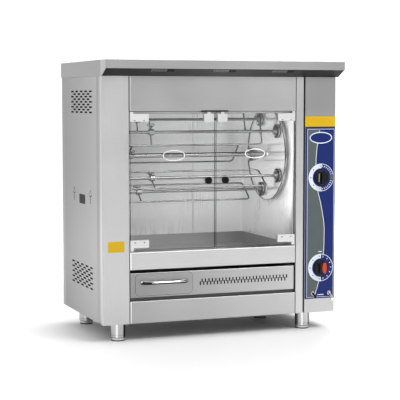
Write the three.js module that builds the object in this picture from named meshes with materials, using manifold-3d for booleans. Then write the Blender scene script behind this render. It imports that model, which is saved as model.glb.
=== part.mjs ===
// Five-spit planetary rotisserie oven: sheet-steel casing, two glass doors, a grease drawer and a
// carrier that turns the spits round a fixed sun gear. Millimetres, +Z up, front facing -Y.
// Parts are placed in casing coordinates: X from the left side, Y from the front face, Z from the
// casing's underside. The outer group moves them so that the origin is on the floor, centred.

import * as THREE from 'three';
import { mergeVertices } from 'three/addons/utils/BufferGeometryUtils.js';
import Module from 'manifold-3d';

const wasm = await Module();
wasm.setup();

// Casing
const CASING_WIDTH = 1000;
const CASING_DEPTH = 589;
const CASING_HEIGHT = 968;
const SHEET = 1.5;
const FIT = 0.3;
const RETURN_DEPTH = 15.7;
const LEG_HEIGHT = 72;

// Hood that caps the casing and reaches out over the doors
const HOOD_HEIGHT = 62;
const HOOD_LIP = 34;
const HOOD_FRONT = 57.5;
const HOOD_REAR = 11;
const HOOD_LEFT = 1.5;
const HOOD_RIGHT = 11.5;
const HOOD_RIM = 20;
const HOOD_SLOT_GROUPS = [190, 448, 700];
const HOOD_SLOTS_PER_GROUP = 10;
const HOOD_SLOT_PITCH = 9.5;
const HOOD_SLOT_WIDTH = 5;
const HOOD_SLOT_LENGTH = 20;
const HOOD_SLOT_SHARE = 0.74;

// Front of the casing, from left to right and from bottom to top
const COLUMN_WIDTH = 110;
const COLUMN_WRAP = 39;
const BAY_LEFT = 112;
const BAY_RIGHT = 820;
const POST_LEFT = 823;
const POST_RIGHT = 857;
const BOX_LEFT = 863;
const APRON_TOP = 88;
const DRAWER_BOTTOM = 101.5;
const DRAWER_TOP = 199;
const SILL_BOTTOM = 211;
const SILL_TOP = 281;
const LINTEL = 831;
const REAR_WRAP = 44;
const CATCH_BAR_HALF = 57;
const CATCH_BAR_FRONT = 1;
const CATCH_BAR_BACK = 13;
const CATCH_BAR_DROP = 2.5;

// Vents in the left side and in the rear
const SIDE_VENT_BOTTOMS = [124, 826];
const SIDE_VENT_ROWS = 9;
const SIDE_VENT_ROW_PITCH = 10.4;
const SIDE_VENT_COLUMN_PITCH = 66;
const SIDE_VENT_FIRST_Y = 137;
const SIDE_VENT_LENGTH = 38;
const SIDE_VENT_HEIGHT = 7;
const REAR_VENTS = 6;
const REAR_VENT_LEFT = 870;
const REAR_VENT_RIGHT = 960;
const REAR_VENT_BOTTOM = 600;
const REAR_VENT_PITCH = 24;
const REAR_VENT_HEIGHT = 8;

// Cable gland
const GLAND_X = 930;
const GLAND_Z = 120;
const GLAND_NUT_RADIUS = 14;
const GLAND_NUT_DEPTH = 6;
const GLAND_SLEEVE_RADIUS = 9;
const GLAND_SLEEVE_END_RADIUS = 7;
const GLAND_DEPTH = 10.5;
const CABLE_BORE = 5;

// Cooking chamber
const CHAMBER_LEFT = 90;
const CHAMBER_RIGHT = 822;
const CHAMBER_FRONT = 16;
const CHAMBER_BACK = 560;
const CHAMBER_TOP = 905;
const CHAMBER_LEDGE = 233;
const LEDGE_WIDTH = 10;
const PAN_FLOOR = 235.5;
const PAN_REAR = 288;
const PAN_FRONT_LIP = 262;
const SHAFT_HOLE_RADIUS = 14;
const HEATER_RADIUS = 4.5;
const HEATER_BEND = 40;
const HEATER_LEFT = 135;
const HEATER_RIGHT = 790;
const HEATER_ROWS = [80, 190, 300, 410];
const HEATER_DROP = 20;

// Bearing at the left and gear motor at the right of the shaft, round the shaft's axis
const BEARING_DEPTH = 12;
const BEARING_FLANGE = 4;
const BEARING_RADIUS = 18;
const BEARING_FLANGE_RADIUS = 32;
const SUN_HUB_RADIUS = 40;
const GEARBOX_RIGHT = 872;
const GEARBOX_HALF_DEPTH = 42;
const GEARBOX_BOTTOM = -40;
const GEARBOX_TOP = 62;
const MOTOR_RADIUS = 36;
const MOTOR_RISE = 18;
const MOTOR_RIGHT = 975;
const MOTOR_CAP_RADIUS = 30;
const MOTOR_CAP_RIGHT = 984;

// Spit carrier and its planetary gears
const AXIS_Y = 240;
const AXIS_Z = 648;
const SPITS = 5;
const FIRST_SPIT_ANGLE = THREE.MathUtils.degToRad(68.8);
const MODULE_SIZE = 4;
const SUN_TEETH = 65;
const PLANET_TEETH = 13;
const SPIT_CIRCLE = (MODULE_SIZE * (SUN_TEETH + PLANET_TEETH)) / 2;
const GEAR_LEFT = 803;
const GEAR_WIDTH = 8;
const WHEEL_RADIUS = 196;
const WHEEL_RIM_DEPTH = 9.5;
const RIGHT_WHEEL_X = 796.5;
const LEFT_WHEEL_X = 104;
const WHEEL_SHEET = 2;
const WHEEL_RIM_SHEET = 2.5;
const WHEEL_LIP = 3.5;
const WHEEL_SIDES = 36;
const HUB_RADIUS = 13.5;
const HUB_SEAT_RADIUS = 12;
const LEFT_HUB_LENGTH = 10;
const HUB_STEP = 4;
const SHAFT_RADIUS = 9.7;
const SHAFT_LEFT = 76;
const SHAFT_RIGHT = 858;
const ROD_RADIUS = 6;
const ROD_LEFT = 98;
const SOCKET_LEFT = 772;
const SOCKET_DEPTH = 13;
const SOCKET_RADIUS = 29;
const SOCKET_LIP = 4;
const SOCKET_CONE = 8;
const SOCKET_SHOULDER = 11;
const STUB_RADIUS = 9;
const FORK_HALF_WIDTH = 52;
const FORK_WIRE = 3.5;
const FORK_LEFT = 135;
const FORK_RIGHT = 722;
const FORK_BEND = 14;
const CLAMP_X = 240;
const COLLAR_RADIUS = 12.5;
const COLLAR_HALF = 11;
const WING_SCREW_RADIUS = 3;
const WING_SCREW_TOP = 26;
const WING_REACH = 13;
const WING_BOTTOM = 20;
const WING_TOP = 32;
const WING_THICKNESS = 3;
const FORK_TILTS = [16, 16, 54, 53, -44];

// Doors
const GLASS_FRONT = 2;
const GLASS_THICKNESS = 6;
const GLASS_BOTTOM = 288;
const GLASS_TOP = 827;
const DOOR_EDGE_LEFT = 113.5;
const DOOR_EDGE_RIGHT = 816.5;
const DOOR_MEETING = 470;
const DOOR_GAP = 4.5;
const HINGE_INSET = 6.5;
const HINGE_PIN_RADIUS = 4;
const HINGE_LENGTH = 77;
const CATCH_LENGTH = 42;
const CATCH_INSET = 6;
const PLATE = 3;
const PLATE_HEIGHT = 30;
const TOP_PLATE_EDGE = 821;
const BOTTOM_PLATE_EDGE = 298;
const CATCH_EDGE = 820;
const CATCH_SADDLE_TOP = 827.8;
const SADDLE_WIDTH = 14;
const SADDLE_CAP = 1.7;
const KNOB_INSET = 34;
const KNOB_Z = 557.5;
const KNOB_FOOT_RADIUS = 9;
const KNOB_FOOT_LENGTH = 8;
const KNOB_RADIUS = 15;
const KNOB_LENGTH = 24;

// Grease drawer
const DRAWER_RIGHT = 814;
const TRAY_LEFT = 114;
const TRAY_RIGHT = 811;
const TRAY_BACK = 520;
const TRAY_TOP = 190;
const RAIL_LEDGE = 14;
const RAIL_FRONT = 20;
const RAIL_BEYOND_TRAY = 20;
const RAIL_CLEARANCE = 4;
const DRAWER_VENTS_PER_ROW = 26;
const DRAWER_VENT_PITCH = 14.8;
const DRAWER_VENT_LEFT = 402;
const DRAWER_VENT_BOTTOM = 139;
const DRAWER_VENT_WIDTH = 5.5;
const DRAWER_VENT_HEIGHT = 15;
const DRAWER_VENT_ROW_RISE = 11;
const HANDLE_LEFT = 160;
const HANDLE_RIGHT = 344;
const HANDLE_Z = 162;
const HANDLE_REACH = 34;
const HANDLE_RADIUS = 5;
const HANDLE_BEND = 12;
const HANDLE_FOOT_RADIUS = 9;
const HANDLE_FOOT_LENGTH = 4;

// Controls
const DIAL_X = 936;
const UPPER_DIAL_Z = 557.5;
const LOWER_DIAL_Z = 185;
const FASCIA_BOTTOM = 57;
const FASCIA_TOP = 762;
const FASCIA_SHEET = 1;
const FASCIA_MARGIN = 1;
const UPPER_DIAL_RADIUS = 31;
const LOWER_DIAL_RADIUS = 31;
const DIAL_HEIGHT = 27;
const LEFT_SWITCH_X = 900;
const RIGHT_SWITCH_X = 974;
const SWITCH_Z = 79;
const SWITCH_ROOT_RADIUS = 7;
const SHORT_LEVER = { radius: 5, rootRadius: 3.4, length: 28, tilt: THREE.MathUtils.degToRad(28) };
const LONG_LEVER = { radius: 6.2, rootRadius: 4.5, length: 46, tilt: THREE.MathUtils.degToRad(42) };

// Legs, by the place of each in (X, Y)
const LEG_PLACES = {
  front_left: [79, 62],
  front_right: [882, 61],
  rear_left: [72, 483],
  rear_right: [821, 357],
};
const LEG_RADIUS = 30;
const LEG_BOTTOM = -58;
const FOOT_RADIUS = 28;
const FOOT_GAP = 1.5;
const STEM_RADIUS = 10;
const STEM_BORE_RADIUS = 11;
const STEM_BORE_TOP = -8;
const STEM_TOP = -20;

// How far a cutting tool reaches past what it cuts
const BEYOND = 10;

const finishes = {
  brushedSteel: finish(0xc3c5c8, 0.38, 0.95),
  polishedSteel: finish(0xd2d4d6, 0.16, 1),
  darkSteel: finish(0x54565a, 0.5, 0.8),
  chrome: finish(0xe2e4e6, 0.08, 1),
  glass: finish(0xdfe6e4, 0.05, 0),
  fascia: finish(0x27318a, 0.35, 0),
  blackPlastic: finish(0x141414, 0.35, 0),
  gearSteel: finish(0x8d8f92, 0.4, 0.9),
  heater: finish(0x2b2725, 0.7, 0.5),
  castHousing: finish(0x4a4d50, 0.6, 0.6),
};

// ---------------------------------------------------------------- basic shapes

function finish(colour, roughness, metalness) {
  return new THREE.MeshStandardMaterial({ color: colour, roughness, metalness });
}

function add(parent, name, geometry, material) {
  const mesh = new THREE.Mesh(geometry, material);
  mesh.name = name;
  parent.add(mesh);
  return mesh;
}

function box(x0, y0, z0, x1, y1, z1) {
  const geometry = new THREE.BoxGeometry(x1 - x0, y1 - y0, z1 - z0);
  return geometry.translate((x0 + x1) / 2, (y0 + y1) / 2, (z0 + z1) / 2);
}

// A cylinder along X, Y or Z from one coordinate to another, centred on the axis.
function cylinder(axis, radius, from, to, sides, endRadius = radius) {
  const geometry = new THREE.CylinderGeometry(endRadius, radius, to - from, sides);
  geometry.translate(0, (from + to) / 2, 0);
  if (axis === 'x') geometry.rotateZ(-Math.PI / 2);
  if (axis === 'z') geometry.rotateX(Math.PI / 2);
  return geometry;
}

// A solid of revolution about X. Each profile point is [x, radius], and the outside runs towards +X.
function turned(profile, sides) {
  const points = profile.map(([x, radius]) => new THREE.Vector2(radius, x));
  return new THREE.LatheGeometry(points, sides).rotateZ(-Math.PI / 2);
}

function rectangle(path, x0, y0, x1, y1) {
  path.moveTo(x0, y0);
  path.lineTo(x1, y0);
  path.lineTo(x1, y1);
  path.lineTo(x0, y1);
  path.closePath();
  return path;
}

// A flat sheet facing X, drawn in (Y, Z), from x0 to x0 + thickness.
function sheetFacingX(shape, x0, thickness, curveSegments = 6) {
  const options = { depth: thickness, bevelEnabled: false, curveSegments };
  const geometry = new THREE.ExtrudeGeometry(shape, options);
  const turn = new THREE.Matrix4().makeBasis(
    new THREE.Vector3(0, 1, 0),
    new THREE.Vector3(0, 0, 1),
    new THREE.Vector3(1, 0, 0),
  );
  return geometry.applyMatrix4(turn).translate(x0, 0, 0);
}

// A flat sheet facing Y, drawn in (X, Z), from y0 to y0 + thickness.
function sheetFacingY(shape, y0, thickness) {
  const geometry = new THREE.ExtrudeGeometry(shape, { depth: thickness, bevelEnabled: false });
  return geometry.rotateX(Math.PI / 2).translate(0, y0 + thickness, 0);
}

// A polyline whose own points are the stations of an extrusion.
class WireRoute extends THREE.Curve {
  constructor(stations) {
    super();
    this.stations = stations;
  }

  getPoint(t, target = new THREE.Vector3()) {
    const place = t * (this.stations.length - 1);
    const index = Math.min(Math.floor(place), this.stations.length - 2);
    return target.lerpVectors(this.stations[index], this.stations[index + 1], place - index);
  }

  getPointAt(u, target) {
    return this.getPoint(u, target);
  }

  getTangentAt(u, target = new THREE.Vector3()) {
    const last = this.stations.length - 1;
    const index = Math.round(u * last);
    const before = this.stations[Math.max(index - 1, 0)];
    const here = this.stations[index];
    const after = this.stations[Math.min(index + 1, last)];
    const arriving = here.clone().sub(before).normalize();
    const leaving = after.clone().sub(here).normalize();
    return target.addVectors(arriving, leaving).normalize();
  }
}

// Round wire through the given corners, each corner bent to the given radius.
function wire(corners, bend, radius, sides, bendSteps = 3) {
  const stations = [corners[0]];
  for (let i = 1; i < corners.length - 1; i++) {
    const corner = corners[i];
    const start = corner.clone().lerp(corners[i - 1], bend / corner.distanceTo(corners[i - 1]));
    const end = corner.clone().lerp(corners[i + 1], bend / corner.distanceTo(corners[i + 1]));
    stations.push(...new THREE.QuadraticBezierCurve3(start, corner, end).getPoints(bendSteps));
  }
  stations.push(corners[corners.length - 1]);
  const section = new THREE.Shape();
  for (let i = 0; i < sides; i++) {
    const angle = (i / sides) * 2 * Math.PI;
    const x = radius * Math.cos(angle);
    const y = radius * Math.sin(angle);
    if (i === 0) section.moveTo(x, y);
    else section.lineTo(x, y);
  }
  section.closePath();
  return new THREE.ExtrudeGeometry(section, {
    steps: stations.length - 1,
    extrudePath: new WireRoute(stations),
    bevelEnabled: false,
  });
}

function toSolid(geometry) {
  const bare = new THREE.BufferGeometry();
  bare.setAttribute('position', geometry.getAttribute('position').clone());
  if (geometry.index) bare.setIndex(geometry.index.clone());
  const merged = mergeVertices(bare, 1e-4);
  return new wasm.Manifold(new wasm.Mesh({
    numProp: 3,
    vertProperties: new Float32Array(merged.getAttribute('position').array),
    triVerts: new Uint32Array(merged.index.array),
  }));
}

function toGeometry(solid) {
  const mesh = solid.getMesh();
  const geometry = new THREE.BufferGeometry();
  geometry.setAttribute('position', new THREE.BufferAttribute(mesh.vertProperties, 3));
  geometry.setIndex(new THREE.BufferAttribute(mesh.triVerts, 1));
  geometry.computeVertexNormals();
  return geometry;
}

function join(...geometries) {
  return toGeometry(geometries.map(toSolid).reduce((sum, next) => sum.add(next)));
}

function cut(geometry, ...tools) {
  return toGeometry(tools.map(toSolid).reduce((rest, tool) => rest.subtract(tool), toSolid(geometry)));
}

// ---------------------------------------------------------------- casing

function addCasing(parent) {
  const steel = finishes.brushedSteel;
  const top = CASING_HEIGHT - FIT;
  add(parent, 'hood_cap', hoodCap(), steel);
  add(parent, 'left_side_panel', leftSidePanel(top), steel);
  const column = foldedPost(0, COLUMN_WIDTH, COLUMN_WRAP, RETURN_DEPTH, top);
  const post = foldedPost(POST_LEFT, POST_RIGHT, RETURN_DEPTH, RETURN_DEPTH, top);
  add(parent, 'left_front_column', column, steel);
  add(parent, 'right_front_post', post, steel);
  add(parent, 'control_box_cover', controlBoxCover(top), steel);
  add(parent, 'top_front_panel', topFrontPanel(top), steel);
  add(parent, 'sill_panel', channelPanel(SILL_BOTTOM, SILL_TOP), steel);
  add(parent, 'lower_front_panel', channelPanel(0, APRON_TOP), steel);
  add(parent, 'rear_panel', rearPanel(top), steel);
  add(parent, 'base_pan', basePan(), steel);
  add(parent, 'cable_gland', cableGland(), finishes.blackPlastic);
}

// The side outline of the hood, in (Y, Z), drawn inwards by the given amount. The lip's lower corner
// turns by about 26 degrees, so it moves up by less than the inset.
function hoodOutline(inset) {
  const cornerShare = 0.6;
  const top = CASING_HEIGHT + HOOD_HEIGHT - inset;
  const shape = new THREE.Shape();
  shape.moveTo(-HOOD_FRONT + inset, top);
  shape.lineTo(-HOOD_FRONT + inset, CASING_HEIGHT + HOOD_HEIGHT - HOOD_LIP + inset * cornerShare);
  shape.lineTo(0, CASING_HEIGHT + inset);
  shape.lineTo(CASING_DEPTH + HOOD_REAR - inset, CASING_HEIGHT + inset);
  shape.lineTo(CASING_DEPTH + HOOD_REAR - inset, top);
  shape.closePath();
  return shape;
}

function hoodCap() {
  const left = -HOOD_LEFT;
  const right = CASING_WIDTH + HOOD_RIGHT;
  const outer = sheetFacingX(hoodOutline(0), left, right - left);
  const inner = sheetFacingX(hoodOutline(SHEET), left + SHEET, right - left - 2 * SHEET);
  const mouth = box(
    HOOD_RIM,
    HOOD_RIM,
    CASING_HEIGHT - HOOD_RIM,
    CASING_WIDTH - HOOD_RIM,
    CASING_DEPTH - HOOD_RIM,
    CASING_HEIGHT + HOOD_RIM,
  );
  return cut(outer, inner, mouth, ...hoodSlots());
}

// Three groups of steam slots in the sloping underside of the canopy.
function hoodSlots() {
  const slots = [];
  const rise = HOOD_HEIGHT - HOOD_LIP;
  const slope = Math.atan2(rise, HOOD_FRONT);
  for (const groupX of HOOD_SLOT_GROUPS) {
    for (let i = 0; i < HOOD_SLOTS_PER_GROUP; i++) {
      const slot = new THREE.BoxGeometry(HOOD_SLOT_WIDTH, HOOD_SLOT_LENGTH, 4 * SHEET);
      slot.rotateX(-slope);
      const x = groupX + i * HOOD_SLOT_PITCH;
      slot.translate(x, -HOOD_SLOT_SHARE * HOOD_FRONT, CASING_HEIGHT + HOOD_SLOT_SHARE * rise);
      slots.push(slot);
    }
  }
  return slots;
}

function leftSidePanel(top) {
  const sheet = box(0, COLUMN_WRAP + FIT, 0, SHEET, CASING_DEPTH - REAR_WRAP - FIT, top);
  return cut(sheet, ...SIDE_VENT_BOTTOMS.flatMap(ventGrid));
}

// Staggered rows of short level slots, five and four to a row.
function ventGrid(gridBottom) {
  const slots = [];
  for (let row = 0; row < SIDE_VENT_ROWS; row++) {
    const isLong = row % 2 === 0;
    const count = isLong ? 5 : 4;
    const start = SIDE_VENT_FIRST_Y + (isLong ? 0 : SIDE_VENT_COLUMN_PITCH / 2);
    const z = gridBottom + row * SIDE_VENT_ROW_PITCH;
    for (let i = 0; i < count; i++) {
      const y = start + i * SIDE_VENT_COLUMN_PITCH;
      const bottom = z - SIDE_VENT_HEIGHT / 2;
      const top = z + SIDE_VENT_HEIGHT / 2;
      slots.push(box(-BEYOND, y, bottom, SHEET + BEYOND, y + SIDE_VENT_LENGTH, top));
    }
  }
  return slots;
}

// An upright folded from sheet: a front face with a return at each side.
function foldedPost(left, right, leftReturn, rightReturn, top) {
  return join(
    box(left, 0, 0, right, SHEET, top),
    box(left, 0, 0, left + SHEET, leftReturn, top),
    box(right - SHEET, 0, 0, right, rightReturn, top),
  );
}

function controlBoxCover(top) {
  const sideBack = CASING_DEPTH - REAR_WRAP - FIT;
  return join(
    box(BOX_LEFT, 0, 0, CASING_WIDTH, SHEET, top),
    box(CASING_WIDTH - SHEET, 0, 0, CASING_WIDTH, sideBack, top),
    box(BOX_LEFT, 0, 0, BOX_LEFT + SHEET, RETURN_DEPTH, top),
  );
}

// The panel over the doors, with its lower return and the bar that the door catches meet.
function topFrontPanel(top) {
  const barBottom = LINTEL - CATCH_BAR_DROP;
  const barTop = LINTEL + SHEET / 2;
  const barLeft = DOOR_MEETING - CATCH_BAR_HALF;
  const barRight = DOOR_MEETING + CATCH_BAR_HALF;
  return join(
    box(BAY_LEFT, 0, LINTEL, BAY_RIGHT, SHEET, top),
    box(BAY_LEFT, 0, LINTEL, BAY_RIGHT, RETURN_DEPTH, LINTEL + SHEET),
    box(barLeft, CATCH_BAR_FRONT, barBottom, barRight, CATCH_BAR_BACK, barTop),
  );
}

// A front panel with a return along its top and bottom edges.
function channelPanel(bottom, top) {
  return join(
    box(BAY_LEFT, 0, bottom, BAY_RIGHT, SHEET, top),
    box(BAY_LEFT, 0, top - SHEET, BAY_RIGHT, RETURN_DEPTH, top),
    box(BAY_LEFT, 0, bottom, BAY_RIGHT, RETURN_DEPTH, bottom + SHEET),
  );
}

function rearPanel(top) {
  const back = CASING_DEPTH;
  const wrapFront = back - REAR_WRAP;
  const outline = rectangle(new THREE.Shape(), 0, 0, CASING_WIDTH, top);
  for (let i = 0; i < REAR_VENTS; i++) {
    const z = REAR_VENT_BOTTOM + i * REAR_VENT_PITCH;
    const slot = new THREE.Path();
    outline.holes.push(rectangle(slot, REAR_VENT_LEFT, z, REAR_VENT_RIGHT, z + REAR_VENT_HEIGHT));
  }
  const cableHole = cylinder('y', CABLE_BORE, back - BEYOND, back + BEYOND, 12);
  cableHole.translate(GLAND_X, 0, GLAND_Z);
  return join(
    cut(sheetFacingY(outline, back - SHEET, SHEET), cableHole),
    box(0, wrapFront, 0, SHEET, back, top),
    box(CASING_WIDTH - SHEET, wrapFront, 0, CASING_WIDTH, back, top),
  );
}

// The floor of the casing, with the two rails that carry the drawer.
function basePan() {
  const inset = SHEET + FIT;
  const floorFront = RETURN_DEPTH + 1;
  const railBack = TRAY_BACK + RAIL_BEYOND_TRAY;
  const ledgeTop = DRAWER_BOTTOM + 1;
  const leftRail = TRAY_LEFT - RAIL_CLEARANCE;
  const rightRail = TRAY_RIGHT + RAIL_CLEARANCE;
  return join(
    box(inset, floorFront, inset, CASING_WIDTH - inset, CASING_DEPTH - inset, inset + SHEET),
    box(leftRail, RAIL_FRONT, SHEET, leftRail + SHEET, railBack, ledgeTop),
    box(leftRail, RAIL_FRONT, ledgeTop - SHEET, leftRail + RAIL_LEDGE, railBack, ledgeTop),
    box(rightRail - SHEET, RAIL_FRONT, SHEET, rightRail, railBack, ledgeTop),
    box(rightRail - RAIL_LEDGE, RAIL_FRONT, ledgeTop - SHEET, rightRail, railBack, ledgeTop),
  );
}

function cableGland() {
  const back = CASING_DEPTH;
  const nutEnd = back + GLAND_NUT_DEPTH;
  const nut = cylinder('y', GLAND_NUT_RADIUS, back + FIT, nutEnd, 6);
  const sleeveEnd = back + GLAND_DEPTH;
  const sleeve = cylinder('y', GLAND_SLEEVE_RADIUS, nutEnd - 1, sleeveEnd, 12, GLAND_SLEEVE_END_RADIUS);
  const bore = cylinder('y', CABLE_BORE, back - BEYOND, sleeveEnd + BEYOND, 12);
  return cut(join(nut, sleeve), bore).translate(GLAND_X, 0, GLAND_Z);
}

// ---------------------------------------------------------------- chamber

function addChamber(parent) {
  add(parent, 'chamber_liner', chamberLiner(), finishes.polishedSteel);
  add(parent, 'chamber_floor_pan', chamberFloorPan(), finishes.polishedSteel);
  add(parent, 'heating_element', heatingElement(), finishes.heater);
}

// Left, back, right and top walls in one folded liner, with flanges round the door opening.
function chamberLiner() {
  const left = CHAMBER_LEFT - SHEET;
  const right = CHAMBER_RIGHT + SHEET;
  const back = CHAMBER_BACK + SHEET;
  const top = CHAMBER_TOP + SHEET;
  const front = CHAMBER_FRONT;
  const shell = box(left, front, CHAMBER_LEDGE, right, back, top);
  const hollow = box(
    CHAMBER_LEFT,
    front - BEYOND,
    CHAMBER_LEDGE + SHEET,
    CHAMBER_RIGHT,
    CHAMBER_BACK,
    CHAMBER_TOP,
  );
  const bottomMouth = box(
    CHAMBER_LEFT + LEDGE_WIDTH,
    front - BEYOND,
    CHAMBER_LEDGE - BEYOND,
    CHAMBER_RIGHT - LEDGE_WIDTH,
    CHAMBER_BACK - LEDGE_WIDTH,
    CHAMBER_LEDGE + BEYOND,
  );
  const shaftHoles = cylinder('x', SHAFT_HOLE_RADIUS, left - BEYOND, right + BEYOND, 16);
  shaftHoles.translate(0, AXIS_Y, AXIS_Z);
  const walls = cut(shell, hollow, bottomMouth, shaftHoles);
  const flangeInset = 2;
  return join(
    walls,
    box(left, front, CHAMBER_LEDGE, COLUMN_WIDTH - flangeInset, front + SHEET, top),
    box(left, front, LINTEL + flangeInset, right, front + SHEET, top),
  );
}

function chamberFloorPan() {
  const left = CHAMBER_LEFT + FIT;
  const right = CHAMBER_RIGHT - FIT;
  const front = CHAMBER_FRONT + SHEET + FIT;
  const back = CHAMBER_BACK - FIT;
  const above = PAN_REAR + BEYOND;
  const shell = box(left, front, PAN_FLOOR, right, back, PAN_REAR);
  const hollow = box(left + SHEET, front + SHEET, PAN_FLOOR + SHEET, right - SHEET, back - SHEET, above);
  const lipBack = front + 2 * SHEET;
  const lowFront = box(left - BEYOND, front - BEYOND, PAN_FRONT_LIP, right + BEYOND, lipBack, above);
  return cut(shell, hollow, lowFront);
}

// One tubular element bent into hairpins under the ceiling, its ends through the right wall side.
function heatingElement() {
  const z = CHAMBER_TOP - HEATER_DROP;
  const end = CHAMBER_RIGHT - 1;
  const last = HEATER_ROWS.length - 1;
  const corners = [new THREE.Vector3(end, HEATER_ROWS[0], z)];
  HEATER_ROWS.forEach((y, index) => {
    const leavesLeft = index % 2 === 0;
    const near = new THREE.Vector3(leavesLeft ? HEATER_RIGHT : HEATER_LEFT, y, z);
    const far = new THREE.Vector3(leavesLeft ? HEATER_LEFT : HEATER_RIGHT, y, z);
    if (index > 0) corners.push(near);
    if (index < last) corners.push(far);
  });
  corners.push(new THREE.Vector3(end, HEATER_ROWS[last], z));
  return wire(corners, HEATER_BEND, HEATER_RADIUS, 6);
}

// ---------------------------------------------------------------- carrier drive

function addDrive(parent) {
  const axis = new THREE.Group();
  axis.position.set(0, AXIS_Y, AXIS_Z);
  parent.add(axis);
  const shaft = cylinder('x', SHAFT_RADIUS, SHAFT_LEFT, SHAFT_RIGHT, 12);
  add(axis, 'drive_shaft', shaft, finishes.polishedSteel);
  add(axis, 'left_wheel', leftWheel(), finishes.polishedSteel);
  add(axis, 'right_wheel', rightWheel(), finishes.polishedSteel);
  add(axis, 'sun_gear', sunGear(), finishes.gearSteel);
  add(axis, 'left_shaft_bearing', leftShaftBearing(), finishes.castHousing);
  add(axis, 'gear_motor', gearMotor(), finishes.castHousing);
}

function spitAngle(index) {
  return FIRST_SPIT_ANGLE + (index * 2 * Math.PI) / SPITS;
}

// A round sheet with a seat for its hub and one hole for each spit.
function wheelSheet(x0, spitHoleRadius) {
  const shape = new THREE.Shape();
  shape.absarc(0, 0, WHEEL_RADIUS, 0, 2 * Math.PI);
  shape.holes.push(new THREE.Path().absarc(0, 0, HUB_SEAT_RADIUS, 0, 2 * Math.PI));
  const sheet = sheetFacingX(shape, x0, WHEEL_SHEET, WHEEL_SIDES / 2);
  const holes = [];
  for (let i = 0; i < SPITS; i++) {
    const y = SPIT_CIRCLE * Math.cos(spitAngle(i));
    const z = SPIT_CIRCLE * Math.sin(spitAngle(i));
    holes.push(cylinder('x', spitHoleRadius, x0 - BEYOND, x0 + BEYOND, 12).translate(0, y, z));
  }
  return cut(sheet, ...holes);
}

function wheelHub(from, to) {
  const bore = SHAFT_RADIUS + FIT;
  return turned([[from, bore], [from, HUB_RADIUS], [to, HUB_RADIUS], [to, bore], [from, bore]], 16);
}

function leftWheel() {
  const sheet = wheelSheet(LEFT_WHEEL_X, ROD_RADIUS + 2 * FIT);
  return join(sheet, wheelHub(LEFT_WHEEL_X - HUB_STEP, LEFT_WHEEL_X + LEFT_HUB_LENGTH));
}

// The polished disc that covers the gears, with a turned-back rim and a small lip in front.
function rightWheel() {
  const rimLeft = RIGHT_WHEEL_X - WHEEL_LIP;
  const rimRight = RIGHT_WHEEL_X + WHEEL_RIM_DEPTH;
  const rimInner = WHEEL_RADIUS - WHEEL_RIM_SHEET;
  const rim = turned(
    [
      [rimLeft, rimInner],
      [rimLeft, WHEEL_RADIUS],
      [rimRight, WHEEL_RADIUS],
      [rimRight, rimInner],
      [rimLeft, rimInner],
    ],
    WHEEL_SIDES,
  );
  const sheet = wheelSheet(RIGHT_WHEEL_X, STUB_RADIUS + 2 * FIT);
  return join(sheet, rim, wheelHub(RIGHT_WHEEL_X - HUB_STEP, RIGHT_WHEEL_X + HUB_STEP));
}

// A spur gear drawn in (Y, Z) with one tooth pointing along the given angle. A tooth's half-widths at
// its root and tip are shares of the pitch angle.
function gearShape(teeth, toothAngle) {
  const addendum = 0.85;
  const dedendum = 1.15;
  const rootHalf = 0.315;
  const tipHalf = 0.125;
  const pitchRadius = (MODULE_SIZE * teeth) / 2;
  const tipRadius = pitchRadius + addendum * MODULE_SIZE;
  const rootRadius = pitchRadius - dedendum * MODULE_SIZE;
  const pitchAngle = (2 * Math.PI) / teeth;
  const shape = new THREE.Shape();
  for (let i = 0; i < teeth; i++) {
    const corners = [
      [rootRadius, -rootHalf],
      [tipRadius, -tipHalf],
      [tipRadius, tipHalf],
      [rootRadius, rootHalf],
    ];
    corners.forEach(([radius, offset], corner) => {
      const angle = toothAngle + (i + offset) * pitchAngle;
      const y = radius * Math.cos(angle);
      const z = radius * Math.sin(angle);
      if (i === 0 && corner === 0) shape.moveTo(y, z);
      else shape.lineTo(y, z);
    });
  }
  shape.closePath();
  return shape;
}

// The sun gear stands still on the right chamber wall and its hub carries the shaft.
function sunGear() {
  const bore = SHAFT_RADIUS + FIT;
  const teeth = sheetFacingX(gearShape(SUN_TEETH, FIRST_SPIT_ANGLE), GEAR_LEFT, GEAR_WIDTH);
  const hub = cylinder('x', SUN_HUB_RADIUS, GEAR_LEFT + GEAR_WIDTH - 1, CHAMBER_RIGHT - FIT, 16);
  return cut(join(teeth, hub), cylinder('x', bore, GEAR_LEFT - BEYOND, CHAMBER_RIGHT + BEYOND, 16));
}

function leftShaftBearing() {
  const right = CHAMBER_LEFT - SHEET - FIT;
  const bore = SHAFT_RADIUS + FIT;
  const left = right - BEARING_DEPTH;
  const flange = right - BEARING_FLANGE;
  const profile = [
    [left, bore],
    [left, BEARING_RADIUS],
    [flange, BEARING_RADIUS],
    [flange, BEARING_FLANGE_RADIUS],
    [right, BEARING_FLANGE_RADIUS],
    [right, bore],
    [left, bore],
  ];
  return turned(profile, 16);
}

function gearMotor() {
  const left = CHAMBER_RIGHT + SHEET + FIT;
  const gearbox = box(
    left,
    -GEARBOX_HALF_DEPTH,
    GEARBOX_BOTTOM,
    GEARBOX_RIGHT,
    GEARBOX_HALF_DEPTH,
    GEARBOX_TOP,
  );
  const motor = cylinder('x', MOTOR_RADIUS, GEARBOX_RIGHT - 1, MOTOR_RIGHT, 16);
  const cap = cylinder('x', MOTOR_CAP_RADIUS, MOTOR_RIGHT - 1, MOTOR_CAP_RIGHT, 16);
  motor.translate(0, 0, MOTOR_RISE);
  cap.translate(0, 0, MOTOR_RISE);
  const bore = cylinder('x', SHAFT_RADIUS + FIT, left - BEYOND, SHAFT_RIGHT + 2, 16);
  return cut(join(gearbox, motor, cap), bore);
}

// ---------------------------------------------------------------- spits

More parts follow.
